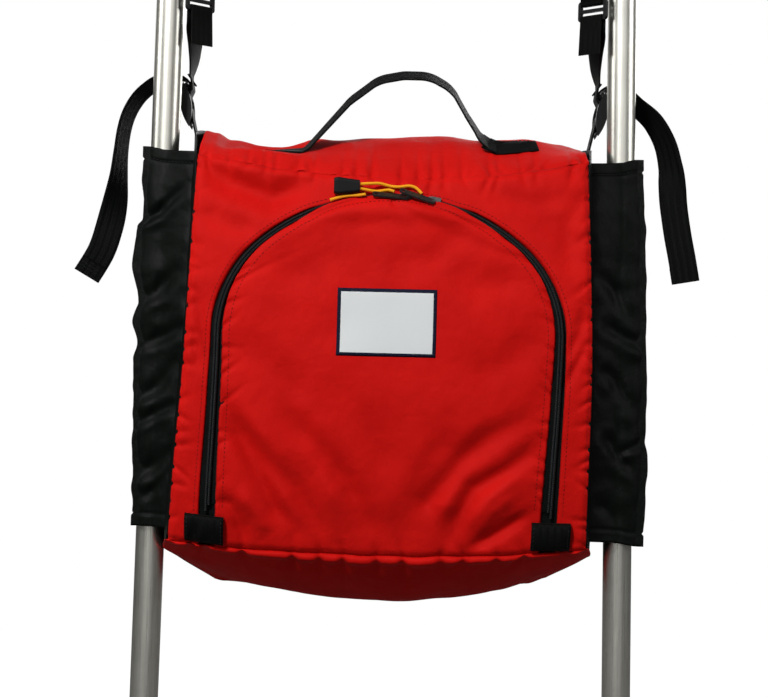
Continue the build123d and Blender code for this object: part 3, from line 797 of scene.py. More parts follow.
def arch_point(s, out=0.0):
    """Point (x, z) of the arch at length s from its crown, moved out, and its outward direction."""
    side = 1 if s >= 0 else -1
    s = abs(s)
    if s > crown_length + shoulder_length:
        return side * (zip_half_width + out), shoulder_z - (s - crown_length - shoulder_length), (side, 0.0)
    if s <= crown_length:
        angle = math.pi / 2 - s / crown_radius
        centre, radius = (0.0, crown_centre_z), crown_radius
    else:
        angle = math.radians(shoulder_angle) - (s - crown_length) / shoulder_radius
        centre, radius = (inner_x, shoulder_z), shoulder_radius
    x = centre[0] + (radius + out) * math.cos(angle)
    z = centre[1] + (radius + out) * math.sin(angle)
    return side * x, z, (side * math.cos(angle), math.sin(angle))


# Creases of the front: points (x, z), depth inwards and width
flap_folds = [
    ([(-139, 366), (-118, 332), (-104, 308), (-88, 280), (-72, 262)], 6.0, 8),
    ([(-146, 380), (-98, 324), (-74, 298), (-42, 250)], 6.5, 9),
    ([(-100, 380), (-61, 336), (-30, 306), (4, 248)], 5.6, 11),
    ([(-140, 296), (-122, 276), (-114, 250)], 3.0, 6),
    ([(-60, 400), (-20, 352), (24, 300)], 2.6, 16),
    ([(140, 376), (86, 343), (70, 326), (44, 290), (60, 262)], 6.0, 11),
    ([(138, 348), (111, 319), (80, 302), (58, 248)], 5.6, 9),
    ([(132, 284), (105, 265), (76, 248)], 4.6, 6),
    ([(60, 360), (40, 316), (24, 258)], 2.8, 13),
    ([(-136, 440), (-100, 400), (-60, 372)], 2.8, 16),
    ([(132, 440), (100, 410), (70, 396)], 2.4, 15),
    ([(70, 530), (36, 500), (-10, 494)], 2.6, 16),
    ([(118, 480), (76, 478), (50, 500)], 2.6, 13),
    ([(-104, 476), (-66, 486), (-36, 512)], 2.0, 16),
]
flap_ridges = [
    ([(-128, 374), (-104, 342), (-84, 308), (-66, 278), (-50, 256)], 3.4, 8),
    ([(-124, 300), (-104, 276), (-92, 256)], 2.6, 7),
    ([(-80, 350), (-50, 318), (-24, 272)], 3.0, 9),
    ([(128, 330), (96, 296), (72, 264)], 3.6, 8),
    ([(120, 304), (96, 280), (84, 262)], 2.6, 6),
    ([(84, 336), (60, 296), (46, 262)], 2.4, 9),
]
surround_folds = [
    ([(-176, 584), (-140, 560), (-104, 548), (-60, 566)], 10.5, 12),
    ([(-168, 540), (-140, 524), (-110, 520)], 4.0, 10),
    ([(-166, 470), (-158, 430), (-150, 396)], 2.4, 5),
    ([(-168, 430), (-160, 400)], 2.0, 4),
    ([(150, 410), (164, 440), (168, 466)], 2.8, 5),
    ([(150, 386), (162, 412), (170, 430)], 2.4, 4),
    ([(120, 545), (150, 520), (160, 480)], 3.2, 11),
    ([(70, 560), (120, 548), (160, 556)], 2.6, 9),
    ([(168, 560), (150, 530), (154, 500)], 2.4, 8),
]


def folds(x, z, table, share=1.0):
    """Sum of a table's creases at (x, z)."""
    return sum(share * fold(x, z, line, depth, width) for line, depth, width in table)


def front_place(x, z):
    """Y of the bag's front cloth at rest, without the zip's edges."""
    chord = front_top_z - front_bottom_z
    middle = (front_top_z + front_bottom_z) / 2
    y = front_y - arc_push(chord, front_bulge, z - middle)
    y += 2.5 * (abs(x) / half_width(z)) ** 4
    y -= 1.6 * grain(x, z, 7, 95) + 0.7 * grain(x, z, 2, 42)
    y += folds(x, z, surround_folds)
    below_top = max(top_seam_z(x) - z, 0.0)
    above_bottom = max(z - bottom_seam_z(x), 0.0)
    beside = max(half_width(z) - abs(x), 0.0)
    seam = min(below_top, above_bottom, beside)
    y += 3.0 * tucks(x, below_top, 16, 9, 1.3)
    y += 2.6 * tucks(x, above_bottom, 27, 13, 4.7)
    y += 2.6 * tucks(z, beside, 15, 9, 7.1 if x > 0 else 8.3)
    return y + 3.2 * math.exp(-((seam / 2.8) ** 2))


def flap_place(x, z):
    """Y of the flap's cloth, which stands proud of the zip and hangs in folds to its lower corners."""
    y = front_place(x, z)
    inside = max(-zip_distance(x, z) - 1.0, 0.0)
    low = smooth((z - 262) / 30)
    crown = smooth((z - 470) / 70)
    y -= low * (3.0 + 2.6 * crown) * (1 - math.exp(-inside / 16))
    y -= low * 3.4 * crown * math.exp(-(((inside - 7) / 10) ** 2))
    off_zip = smooth(inside / 14 + 0.15)
    y += (folds(x, z, flap_folds, 1.35) - folds(x, z, flap_ridges, 1.25)) * off_zip
    y += low * 2.2 * tucks(z + 0.4 * abs(x), inside, 15, 12, 2.9 if x > 0 else 3.9)
    return y - 2.2 * smooth((z - 525) / 15)


# How far the flap's edge stays inside the zip's line, and the front's edge outside it, along the arch
flap_shy = [(0, -2.6), (52, -2.2), (76, 0.6), (110, 2.0), (150, 3.0), (200, 4.2), (260, 5.2), (364, 6.6)]
front_shy = [(0, 1.2), (54, 1.2), (76, 3.0), (110, 3.2), (150, 3.8), (200, 4.8), (260, 5.6), (364, 7.0)]


def opening_edge(s, shy, way, further=0.0):
    """Point (x, z) of the flap's edge, way -1, or the front's, way 1, at length s, or further off it."""
    x, z, _ = arch_point(s, way * (along_table(shy, abs(s)) + further))
    return x, z


def opening_side(sign, shy, way):
    """Points up one side of the flap or of its opening, from the bottom seam to the arch's corner."""
    x = zip_half_width + way * along_table(shy, arch_end)
    below = [(sign * x, z) for z in lengths(bottom_seam_z(sign * x), flap_fold_z, low_count)]
    rising = lengths(sign * arch_end, sign * corner_s, up_count)
    return below[:-1] + [opening_edge(s, shy, way) for s in rising]


def opening_top(shy, way):
    """Points over the crown of the flap or of its opening, from corner to corner."""
    return [opening_edge(s, shy, way) for s in lengths(-corner_s, corner_s, across_count)]


# Bag: its pieces


def blended(a, b, t):
    """Point a share t of the way from a to b."""
    return tuple(p + (q - p) * t for p, q in zip(a, b))


def coons(left, right, bottom, top):
    """Points filling four edges, each a list; left and right run upwards, bottom and top to the right."""
    rows = []
    for v, l, r in zip(lengths(0.0, 1.0, len(left) - 1), left, right):
        row = []
        for u, b, t in zip(lengths(0.0, 1.0, len(bottom) - 1), bottom, top):
            point = []
            for k in range(2):
                ruled = (1 - u) * l[k] + u * r[k] + (1 - v) * b[k] + v * t[k]
                low = (1 - u) * (1 - v) * bottom[0][k] + u * (1 - v) * bottom[-1][k]
                high = (1 - u) * v * top[0][k] + u * v * top[-1][k]
                point.append(ruled - low - high)
            row.append(tuple(point))
        rows.append(row)
    return rows


corner_s = 0.42 * arch_end
across_count, up_count, rim_count, low_count = 180, 150, 22, 20
depth_count, side_count, side_deep_count = 64, 90, 44


def turn_in(grid, depth=2.2):
    """Rolls a grid's left, right and top edges inwards, as cloth folded under at a seam."""
    for row in grid:
        edges = range(len(row)) if row is grid[-1] else (0, -1)
        for place in edges:
            (x, y, z), uv = row[place]
            row[place] = ((x, y + depth, z), uv)


def make_flap():
    """The arched flap: one cloth with the strip under its fold."""
    left, right = opening_side(-1, flap_shy, -1), opening_side(1, flap_shy, -1)
    bottom = [(x, bottom_seam_z(x)) for x in lengths(left[0][0], right[0][0], across_count)]
    grid = []
    for row in coons(left, right, bottom, opening_top(flap_shy, -1)):
        grid.append([((x, flap_place(x, z), z), (x, z)) for x, z in row])
    turn_in(grid)
    piece = hung(cloth_piece("flap_cloth", [grid], None, ["flap_panel"]))
    hinge_y, half_bend = front_place(0.0, flap_fold_z), 12.0
    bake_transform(piece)


def make_surround():
    """The front round the flap: a strip down each side and the piece over the crown."""

    def outer_side(sign):
        low, high = bottom_seam_z(sign * half_width_bottom), top_seam_z(sign * half_width_top)
        return [(sign * half_width(z), z) for z in lengths(low, high, up_count + low_count)]

    outer_left, outer_right = outer_side(-1), outer_side(1)
    ends = outer_left[-1][0], outer_right[-1][0]
    outer_top = [(x, top_seam_z(x)) for x in lengths(*ends, across_count)]
    bands = (
        (opening_side(-1, front_shy, 1), outer_left),
        (opening_top(front_shy, 1), outer_top),
        (opening_side(1, front_shy, 1)[::-1], outer_right[::-1]),
    )
    grids = []
    for inner, outer in bands:
        grid = []
        for t in lengths(0.0, 1.0, rim_count):
            row = []
            for a, b in zip(inner, outer):
                x, z = blended(a, b, t)
                turned_under = 0.0 if t else 1.8
                row.append(((x, front_place(x, z) + turned_under, z), (x, z)))
            grid.append(row)
        grids.append(grid)
    hung(cloth_piece("front_cloth", grids, "handlebar", ["front_panel"]))


# Height of the bag's rear edges, above and below, by x
top_back_z = [
    (-169, 615), (-160, 613), (-146, 605), (-120, 600), (-100, 600),
    (-62, 607), (0, 610), (50, 612), (110, 611), (150, 607), (169, 604),
]
bottom_back_z = [
    (-160, 205), (-150, 203), (-90, 199), (0, 192), (60, 194), (100, 201), (140, 207), (160, 213),
]
bottom_back_half = 158.0


def bell(x, centre, width):
    """1 at a centre, fading out on both sides of it."""
    return math.exp(-(((x - centre) / width) ** 2))


def top_place(x, t):
    """Point (y, z) of the top's cloth a share t of the way from the front's seam to the rear edge."""
    z0, z1 = top_seam_z(x), along_table(top_back_z, x)
    y0 = front_place(x, z0)
    y = y0 + (back_y - y0) * t
    z = z0 + (z1 - z0) * (1 - (1 - t) ** 1.8)
    z += 7.0 * math.sin(math.pi * t) ** 0.8 * (1 - 0.5 * abs(x / half_width_top) ** 3)
    z += 1.6 * grain(x, y, 5, 60) + 0.9 * grain(x, y, 15, 26)
    z += 5.0 * bell(x, -112, 34) * bell(t, 0.20, 0.10)
    z -= 12.0 * bell(x, -106, 30) * bell(t, 0.5, 0.16)
    z += 3.0 * math.tanh((t - 0.43) / 0.1) * bell(x, 103, 32) * bell(t, 0.45, 0.3)
    z -= 4.0 * tucks(x, t * panel_run, 17, 12, 1.3)
    y -= 2.4 * math.exp(-t * 7) * smooth(t * 14)
    return y, z


def make_top():
    """The top: from the front's sagging seam back to the rear edge, puckered along its front seam."""

    def place(t, x):
        y, z = top_place(x, t)
        return (x, y, z), (x, y)

    columns = lengths(-half_width_top, half_width_top, across_count)
    grid = grid_of(lengths(0.0, 1.0, depth_count), columns, place)
    cloth_piece("top_cloth", [grid], "handlebar", ["top_panel"])


def depth_share(y):
    """Share of the way from the bag's front edge, 0, to its back edge, 1."""
    return min(max((y - front_y) / (back_y - front_y), 0), 1)


def side_x(y, z, sign):
    """X of the side's cloth, which flares at mid depth and turns in at the bottom corners."""
    x = half_width(z) + gusset_flare * math.sin(math.pi * depth_share(y))
    return sign * (x - max(240.0 - z, 0.0) * 0.95)


def bottom_edge_z(sign, t):
    """Height of the underside's end edge a share t of the way from front to back."""
    low_front = bottom_seam_z(sign * half_width_bottom)
    low_back = along_table(bottom_back_z, sign * bottom_back_half)
    return low_front + (low_back - low_front) * t**1.6


def make_bottom():
    """The underside: a sagging belly whose ends rise to the sides' lower corners."""

    def place(t, u):
        x_front = u * half_width_bottom
        z0 = bottom_seam_z(x_front)
        y0 = flap_place(x_front, z0)
        z1 = along_table(bottom_back_z, u * bottom_back_half)
        y = y0 + (back_y - y0) * t
        x = u * abs(side_x(y, bottom_edge_z(math.copysign(1, u), t), 1))
        z = z0 + (z1 - z0) * t ** (0.8 + 0.8 * abs(u) ** 3)
        z -= 14.0 * math.sin(math.pi * t) ** 0.85 * (1 - abs(u) ** 2.5)
        z -= 1.6 * grain(x, y, 5, 48) * math.sin(math.pi * t)
        off = t * panel_run
        inner = smooth((1 - abs(u)) / 0.06)
        ridge = bell(off, 3.0, 5.0) * smooth(off / 2.0) * inner
        y -= 3.4 * ridge
        z += 3.2 * tucks(x, off, 27, 13, 4.7) * inner * smooth(off / 2.0) - 2.0 * ridge
        return (x, y, z), (x, y)

    grid = grid_of(lengths(0.0, 1.0, 54), lengths(-1.0, 1.0, across_count), place)
    hung(cloth_piece("bottom_cloth", [grid], "handlebar", ["bottom_panel"], flip=True))


def side_outline(sign):
    """The side's four edges as lists of (y, z): front and back upwards, bottom and top backwards."""
    low_front, high_front = bottom_seam_z(sign * half_width_bottom), top_seam_z(sign * half_width_top)
    rising = lengths(low_front, high_front, side_count)
    front = [(front_place(sign * half_width(z), z), z) for z in rising]
    low_back = along_table(bottom_back_z, sign * bottom_back_half)
    high_back = along_table(top_back_z, sign * half_width_top)
    middle, chord = (low_back + high_back) / 2, high_back - low_back
    rising = lengths(low_back, high_back, side_count)
    back = [(back_y + arc_push(chord, back_bulge, z - middle), z) for z in rising]
    bottom, top = [], []
    for t in lengths(0.0, 1.0, side_deep_count):
        bottom.append((front[0][0] + (back[0][0] - front[0][0]) * t, bottom_edge_z(sign, t)))
        rise = high_front + (high_back - high_front) * (1 - (1 - t) ** 1.8)
        rise += 3.5 * math.sin(math.pi * t) ** 0.8
        top.append((front[-1][0] + (back[-1][0] - front[-1][0]) * t, rise))
    return front, back, bottom, top


def make_side(side, sign):
    """One black side of the bag."""
    grid = []
    for row in coons(*side_outline(sign)):
        line = []
        for y, z in row:
            ripple = 1.5 * grain(y, z, 5, 50) * math.sin(math.pi * depth_share(y))
            line.append(((side_x(y, z, sign) + sign * ripple, y, z), (y, z)))
        grid.append(line)
    nodes = [f"{side}_side_gusset"]
    hung(cloth_piece(f"{side}_side_cloth", [grid], "handlebar", nodes, look="black", flip=sign < 0))


back_folds = [
    ([(-150, 380), (-110, 350), (-80, 300), (-70, 240)], 3.6, 13),
    ([(150, 400), (108, 352), (84, 300), (78, 240)], 3.8, 14),
    ([(-120, 330), (-96, 280), (-90, 230)], 2.8, 9),
    ([(60, 340), (48, 290), (50, 230)], 2.6, 12),
    ([(-150, 560), (-90, 530), (-30, 540)], 2.4, 14),
    ([(150, 560), (96, 524), (40, 530)], 2.4, 14),
]


def make_back():
    """The plain red back."""

    def place(v, u):
        z_low = along_table(bottom_back_z, u * bottom_back_half)
        z_high = along_table(top_back_z, u * half_width_top)
        z = z_low + (z_high - z_low) * v
        x = u * side_x(back_y, z, 1)
        y = back_y + arc_push(z_high - z_low, back_bulge, z - (z_low + z_high) / 2)
        y += 1.8 * grain(x, z, 15, 80) + 0.6 * grain(x, z, 25, 30) - folds(x, z, back_folds)
        above, below = max(z - z_low, 0.0), max(z_high - z, 0.0)
        beside = max(half_width(z) - abs(x), 0.0)
        y -= 2.4 * tucks(x, above, 27, 14, 14.3) + 2.2 * tucks(x, below, 19, 11, 15.1)
        y -= 1.6 * tucks(z, beside, 17, 9, 16.7 if x > 0 else 17.9)
        return (x, y, z), (x, z)

    grid = grid_of(lengths(0.0, 1.0, 70), lengths(-1.0, 1.0, 90), place)
    hung(cloth_piece("back_cloth", [grid], "handlebar", ["back_panel"], flip=True))


# Zip


def zip_strip(name, reach, inner, outer, body, nodes):
    """A strip of zip tape between two distances from the arch; below the fold it closes the gap."""

    def row(s):
        below = smooth((abs(s) - arch_end + 6.0) / 2.0)
        start = inner + (-outer - inner) * below
        points = []
        for out in lengths(start, outer, 6):
            x, z, _ = arch_point(s, out)
            points.append(((x, front_place(x, z) + tape_lift + 0.8 * below, z), (out, s)))
        return points

    grid = [row(s) for s in lengths(-reach, reach, 300)]
    hung(cloth_piece(name, [grid], body, nodes, look="tape", thickness=tape_thickness, flip=True))


def zip_coil(name, side, body, low, high):
    """A length of one half of the coil: a fine nylon spiral beside the zip's line."""
    ring = 8
    count = int((high - low) / (coil_pitch / 4))
    verts, uvs = [], []
    for s in lengths(low, high, count):
        turn = s / coil_pitch + (0.25 if side > 0 else 0.75)
        radius = coil_radius * (1.0 + 0.22 * math.sin(2 * math.pi * turn))
        x, z, (nx, nz) = arch_point(s, side * coil_radius * 0.95)
        y = front_place(x, z) - coil_lift
        for k in range(ring):
            angle = 2 * math.pi * k / ring
            across, out = radius * math.cos(angle), radius * math.sin(angle)
            verts.append((x + nx * across, y - out, z + nz * across))
            uvs.append((k, s))
    hung(piece_from(name, verts, grid_faces(count + 1, ring, closed=True), uvs, "coil", body))


def make_zip():
    """Both tapes and coils. The flap's coil stops above the fold, and short ends go on to the tabs."""
    end = arch_end - 1.0
    clear, stop, gap = end - 13.0, end - 4.5, 0.5
    under_tabs = 30.5
    zip_strip("fixed_tape", end + under_tabs, tape_gap, tape_width, "handlebar", ["zip_fixed_half"])
    zip_strip("flap_tape", end - gap, -tape_width, -tape_gap, "flap", ["zip_flap_half"])
    zip_coil("fixed_coil", 1, "handlebar", -end, end)
    zip_coil("flap_coil", -1, "flap", -clear, clear)
    zip_coil("left_coil_end", -1, "handlebar", -stop, -clear - gap)
    zip_coil("right_coil_end", -1, "handlebar", clear + gap, stop)


def rolled(v, roll):
    """How far a folded tab stands out a share v of its height above its lower edge."""
    return roll * math.sqrt(max(1 - (2 * v - 1) ** 2, 0)) * (0.75 + 0.5 * v)


def patch(name, centre, size, place, lift, look, body, nodes, thickness, roll=0.0, tilt=0.0):
    """A small flat piece sewn on the front cloth, following it, with rounded upper and lower edges."""
    (width, height), (x_low, z_low) = size, (centre[0] - size[0] / 2, centre[1] - size[1] / 2)

    def point(v, u):
        x, z = x_low + width * u, z_low + height * v
        edge = min(min(u, 1 - u) * width, min(v, 1 - v) * height)
        y = place(x, z) - lift + 0.9 * math.exp(-edge / 0.8) - rolled(v, roll)
        z += tilt * (x - centre[0])
        return (x, y, z), (x - x_low, z - z_low)

    grid = grid_of(lengths(0.0, 1.0, 26), lengths(0.0, 1.0, 36), point)
    hung(cloth_piece(name, [grid], body, nodes, look=look, thickness=thickness))


def tab_centre(sign):
    """Point (x, z) at the middle of a zip tab."""
    return sign * (zip_half_width + tab_out), (tab_bottom_z + tab_top_z) / 2


def make_patches():
    """The blank label on the flap and the webbing tabs over the zip's ends."""
    size = (label_width, label_height)
    patch(
        "label_cloth_patch", label_centre, size, flap_place, label_lift, "label",
        "flap", ["label_patch"], 0.6,
    )
    size = (tab_width, tab_top_z - tab_bottom_z)
    for side, sign in sides:
        patch(
            f"{side}_tab_webbing", tab_centre(sign), size, front_place, tab_lift, "webbing",
            "handlebar", [f"{side}_zip_tab"], 1.2, roll=tab_roll, tilt=tab_tilts[side],
        )


# Sleeves


# How far each stands out from the upright's axis at the side and in front, by height
sleeve_reach = {
    "left": [
        (253, 15.5), (268, 15.5), (277, 14.8), (299, 16.8), (334, 18.0),
        (370, 19.0), (405, 20.4), (423, 16.4), (440, 20.2), (454, 17.8),
        (493, 23.0), (524, 21.5), (531, 16.8), (547, 16.6), (595, 17.5),
    ],
    "right": [
        (249, 21.0), (288, 21.6), (320, 23.3), (350, 22.4), (378, 21.8),
        (402, 24.2), (445, 23.0), (505, 20.4), (552, 19.4), (596, 18.2),
    ],
}
sleeve_depth = [(255, 18.0), (300, 19.5), (345, 21.5), (540, 21.5), (580, 19.0)]
# Each sleeve's ends on the outside, and how far they come in at the bag
sleeve_ends = {"left": (259.0, 595.0, 0.0, 5.0), "right": (251.0, 593.5, 5.0, 6.0)}


def upright_x(z):
    """X of the right upright's axis."""
    return upright_half_spacing - z * math.tan(math.radians(upright_lean))


# Their creases: points (across the upright, z), depth and width
sleeve_folds = {
    "left": [
        ([(27, 525), (0, 537), (-24, 562)], 4.6, 5),
        ([(24, 456), (-2, 467), (-26, 494)], 4.4, 7),
        ([(18, 417), (-8, 427), (-30, 440)], 4.0, 6),
        ([(22, 368), (-6, 383), (-28, 416)], 4.4, 7),
        ([(22, 345), (-4, 360), (-26, 371)], 3.0, 5),
        ([(18, 301), (-6, 315), (-26, 332)], 4.0, 7),
        ([(15, 279), (-8, 294), (-26, 320)], 3.0, 5),
    ],
    "right": [
        ([(-27, 494), (-8, 476), (12, 440)], 3.8, 7),
        ([(-22, 449), (9, 433), (25, 428)], 4.4, 6),
        ([(-22, 413), (-5, 394), (15, 362)], 4.4, 7),
        ([(-22, 358), (-5, 334), (13, 312)], 4.4, 6),
        ([(-3, 333), (10, 339), (22, 343)], 3.0, 4),
        ([(-21, 293), (-11, 279), (-2, 266)], 3.4, 6),
    ],
}


def sleeve_point(side, sign, u, v):
    """Point on a sleeve: u from -1 at the bag in front round to 1 at the bag behind, v upwards."""
    low, high, low_lift, high_drop = sleeve_ends[side]
    near = smooth((abs(u) - 0.3) / 0.7)
    z_low, z_high = low + low_lift * near, high - high_drop * near
    z = z_low + (z_high - z_low) * v
    centre = upright_x(z)
    seam = half_width(z) - 1.0 + sign * sway(z)
    bend = 0.68
    turn = min(abs(u) / bend, 1.0) * math.pi / 2
    deep = along_table(sleeve_depth, z) + (1.5 if side == "right" else 0.0)
    across, out = along_table(sleeve_reach[side], z) * math.cos(turn), deep * math.sin(turn)
    if abs(u) > bend:
        t = (abs(u) - bend) / (1 - bend)
        across = (seam - centre) * t
        out = deep + 12.0 * smooth(t) + 8.0 * smooth(t) * (1 - t)
    to_end = min(z - z_low, z_high - z)
    groove = 1.3 * bell(to_end, hem_depth, 1.1) - 0.5 * smooth((hem_depth - to_end) / 2.0)
    push = 1.6 * grain(across + 90 * sign, math.copysign(out, u), z, 46)
    push += 0.7 * grain(across, u * 20, z, 15)
    push -= folds(across, z, sleeve_folds[side])
    for line, depth, width in sleeve_folds[side]:
        raised = [(a, b - 1.6 * width) for a, b in line]
        push += fold(across, z, raised, 0.45 * depth, width)
    push = push * smooth((to_end - 8) / 26) - groove
    share = math.sin(turn)
    across += (1 - share) * max(push, -1.2)
    out = max(out + share * push, tube_radius + 2.0)
    return sign * (centre + across), math.copysign(out, u), z


def make_sleeve(side, sign):
    """The black sleeve: loose cloth round the upright with a hem at each end."""
    girth = 163.2

    def place(v, u):
        point = sleeve_point(side, sign, u, v)
        return point, ((u + 1) / 2 * girth, point[2])

    grid = grid_of(lengths(0.0, 1.0, 180), lengths(-1.0, 1.0, 96), place)
    nodes = [f"{side}_sleeve"]
    cloth_piece(f"{side}_sleeve_cloth", [grid], "handlebar", nodes, "black", thickness=1.0, flip=sign < 0)


# Webbing: each length is worked out for the right side


def flat_length(path, radii):
    """Webbing that bends only in front view, along points (x, z)."""
    spine = [Vector((x, strap_y, z)) for x, z in filleted(path, radii)]
    return spine, [Vector((0, 1, 0))] * len(spine)


def lock_point(along, inward):
    """Point (x, z) at a distance along the right lock's centre line and towards the bag from it."""
    run = (Vector(lock_top) - Vector(lock_bottom)).normalized()
    return (
        lock_bottom[0] + run.x * along - run.y * inward,
        lock_bottom[1] + run.y * along + run.x * inward,
    )


# Distance from a lock bar's axis to the middle of webbing that lies on it
bar_reach = lock_bar / 2 + web_lift
# The same from one of the slide's outer bars, across the slide and along it
slide_across, slide_lap = slide_thickness / 2 + web_lift, slide_bar / 2 + web_lift
slide_angle = math.radians(slide_turn)
slide_bar_at = (slide_height - slide_bar) / 2


def slide_length(path, radii):
    """Webbing bent round the slide's bars: points (y, z) from its middle, in its own turned frame."""
    spine = []
    for y, z in filleted(path, radii):
        spine.append(Vector((slide_x - y * math.cos(slide_angle), y * math.sin(slide_angle), slide_z + z)))
    return spine, [Vector((math.sin(slide_angle), math.cos(slide_angle), 0))] * len(spine)


def make_corner_strap(side, sign):
    """The short webbing from the side's top corner round the lock's anchor bar."""
    stand_off = gusset_flare * (1 - (strap_y - web_width / 2) / back_y) + web_lift
    along = anchor_bar_at + bar_reach
    near, far = bar_set_in - bar_reach, bar_set_in + bar_reach
    path = [(half_width(z) + stand_off, z) for z in (front_top_z - 18.0, front_top_z + 14.0)]
    path += [lock_point(anchor_bar_at - 8.0, far), lock_point(along, far)]
    path += [lock_point(along, near), lock_point(anchor_bar_at - 7.0, near)]
    length = flat_length(path, [12, 12, 0.98 * bar_reach, 0.98 * bar_reach])
    web_piece(f"{side}_corner_webbing", [length], [f"{side}_corner_strap"], sign)


# Distances towards the bag from the lock's centre line of webbing beside the lip bar, once and twice
lip_side = lip_set_in + bar_reach
lip_stacked = lip_side + web_thickness + seat_gap


def make_lock_strap(side, sign):
    """The strap inside the lock: down beside the lip bar, round the strap bar and out past the lip."""
    along = strap_bar_at - bar_reach
    near, far = bar_set_in - bar_reach, bar_set_in + bar_reach
    path = [
        lock_point(lip_bar_at + 5.0, lip_stacked),
        lock_point(lip_bar_at - 4.0, lip_stacked),
        lock_point(strap_bar_at + 1.5, far),
        lock_point(along, far),
        lock_point(along, near),
        lock_point(strap_bar_at + 2.6, near),
        lock_point(lip_bar_at - 2.8, lip_side),
        lock_point(lip_bar_at + 2.0, lip_side),
    ]
    length = flat_length(path, [3, 3, 0.9 * bar_reach, 0.9 * bar_reach, 2, 2])
    web_piece(f"{side}_lock_webbing", [length], [f"{side}_lock_strap"], sign)


def slide_side(way):
    """Point (x, y) of the webbing on one side of the slide, 1 or -1."""
    return slide_x - way * slide_across * math.cos(slide_angle), way * slide_across * math.sin(slide_angle)


def make_hanging_strap(side, sign):
    """The strap from the lock up to the slide, twisting as it rises, and its end sewn back on itself."""
    stations = []
    for along in (lip_bar_at + 5.0, lip_bar_at + 8.0):
        x, z = lock_point(along, lip_stacked)
        stations.append((x, strap_y, z, 0))
    top = slide_side(-1)
    top_z = slide_z - slide_bar_at - sewn_lead
    stations += [
        (181.4, 26.0, 678.0, -12),
        (179.2, 12.0, 698.0, -28),
        (*top, top_z - 5.0, slide_turn),
        (*top, top_z, slide_turn),
    ]
    web_piece(f"{side}_hanging_webbing", [route_length(stations)], [f"{side}_hanging_strap"], sign)
    low = -slide_bar_at - sewn_lead
    path = [
        (-slide_across, low - 1.0),
        (-slide_across, -slide_bar_at + slide_lap),
        (slide_across, -slide_bar_at + slide_lap),
        (slide_across, low),
        (slide_across + 1.2, -slide_bar_at - sewn_end_length),
    ]
    length = slide_length(path, [1.2, 1.2, 8.0])
    web_piece(f"{side}_sewn_end_webbing", [length], [f"{side}_sewn_end"], sign)


def make_loop(side, sign):
    """The strap's loop: round the slide's upper bar and over the crossbar, as one closed length."""
    legs, lap = slide_bar_at + sewn_lead, slide_bar_at - slide_lap
    start_z = slide_z + legs
    path = [(-slide_across, legs), (-slide_across, lap), (slide_across, lap), (slide_across, legs)]
    bight, wides = slide_length(path, [1.2, 1.2])
    lean = math.asin(loop_radius / (crossbar_z - start_z))
    touch_y = loop_radius * math.cos(lean)
    touch_z = crossbar_z - loop_radius * math.sin(lean)

    def strand(way):
        x, y = slide_side(way)
        return route_length([
            (x, y, start_z, slide_turn),
            (x, y, start_z + 1.0, slide_turn),
            ((x + loop_x) / 2, -way * touch_y * 0.55, (start_z + touch_z) / 2, -68),
            (loop_x, -way * touch_y, touch_z, -90),
        ])

    over = []
    for angle in lengths(-lean, math.pi + lean, 32):
        back, rise = -loop_radius * math.cos(angle), loop_radius * math.sin(angle)
        over.append(Vector((loop_x, back, crossbar_z + rise)))
    runs = [(bight, [-w for w in wides]), strand(1), (over, [Vector((1, 0, 0))] * len(over)), strand(-1)]
    web_piece(f"{side}_loop_webbing", runs, [f"{side}_strap_loop", f"{side}_strap_bight"], sign)


def make_tail(side, sign):
    """The strap's free end, over behind the upright and down outside it, folded and sewn at its tip."""
    x, z = lock_point(lip_bar_at + 2.0, lip_side)
    stations = [(x, strap_y, z, 0)]
    for x, y, z, turn in tail_routes[side]:
        stations.append((upright_half_spacing + x, y, lock_top[1] + z, turn))
    spine, wides = mirrored(route_length(stations), sign)
    tip, doubled, bars = [], [], []
    far = 0.0
    for i in range(len(spine) - 1, 0, -1):
        along = (spine[i] - spine[i - 1]).normalized()
        out = wides[i].cross(along).normalized() * web_thickness * -1.02
        tip.append(spine[i] + out)
        doubled.append(wides[i])
        far += (spine[i] - spine[i - 1]).length
        if far > tail_fold_height:
            break
        if any(abs(far - tail_fold_height + down) < 0.8 for down in (4.0, 8.0)):
            bars.append(([spine[i] + wides[i] * w + out * 1.55 for w in lengths(-10.5, 10.5, 12)], out))
    web_piece(f"{side}_tail_webbing", [(spine, wides), (tip, doubled)], [f"{side}_strap_tail"])
    for k, (bar, _) in enumerate(bars):
        stitch_row(f"{side}_tail_stitches_{k}", bar, bars[-1][1], "black_thread", "handlebar")


def handle_seat(x):
    """Point (y, z) on the top's cloth under the carry handle, and the slope there."""
    y, z = top_place(x, handle_share)
    y2, z2 = top_place(x, handle_share + 0.05)
    y1, z1 = top_place(x, handle_share - 0.05)
    return y, z, math.atan2(z2 - z1, y2 - y1)


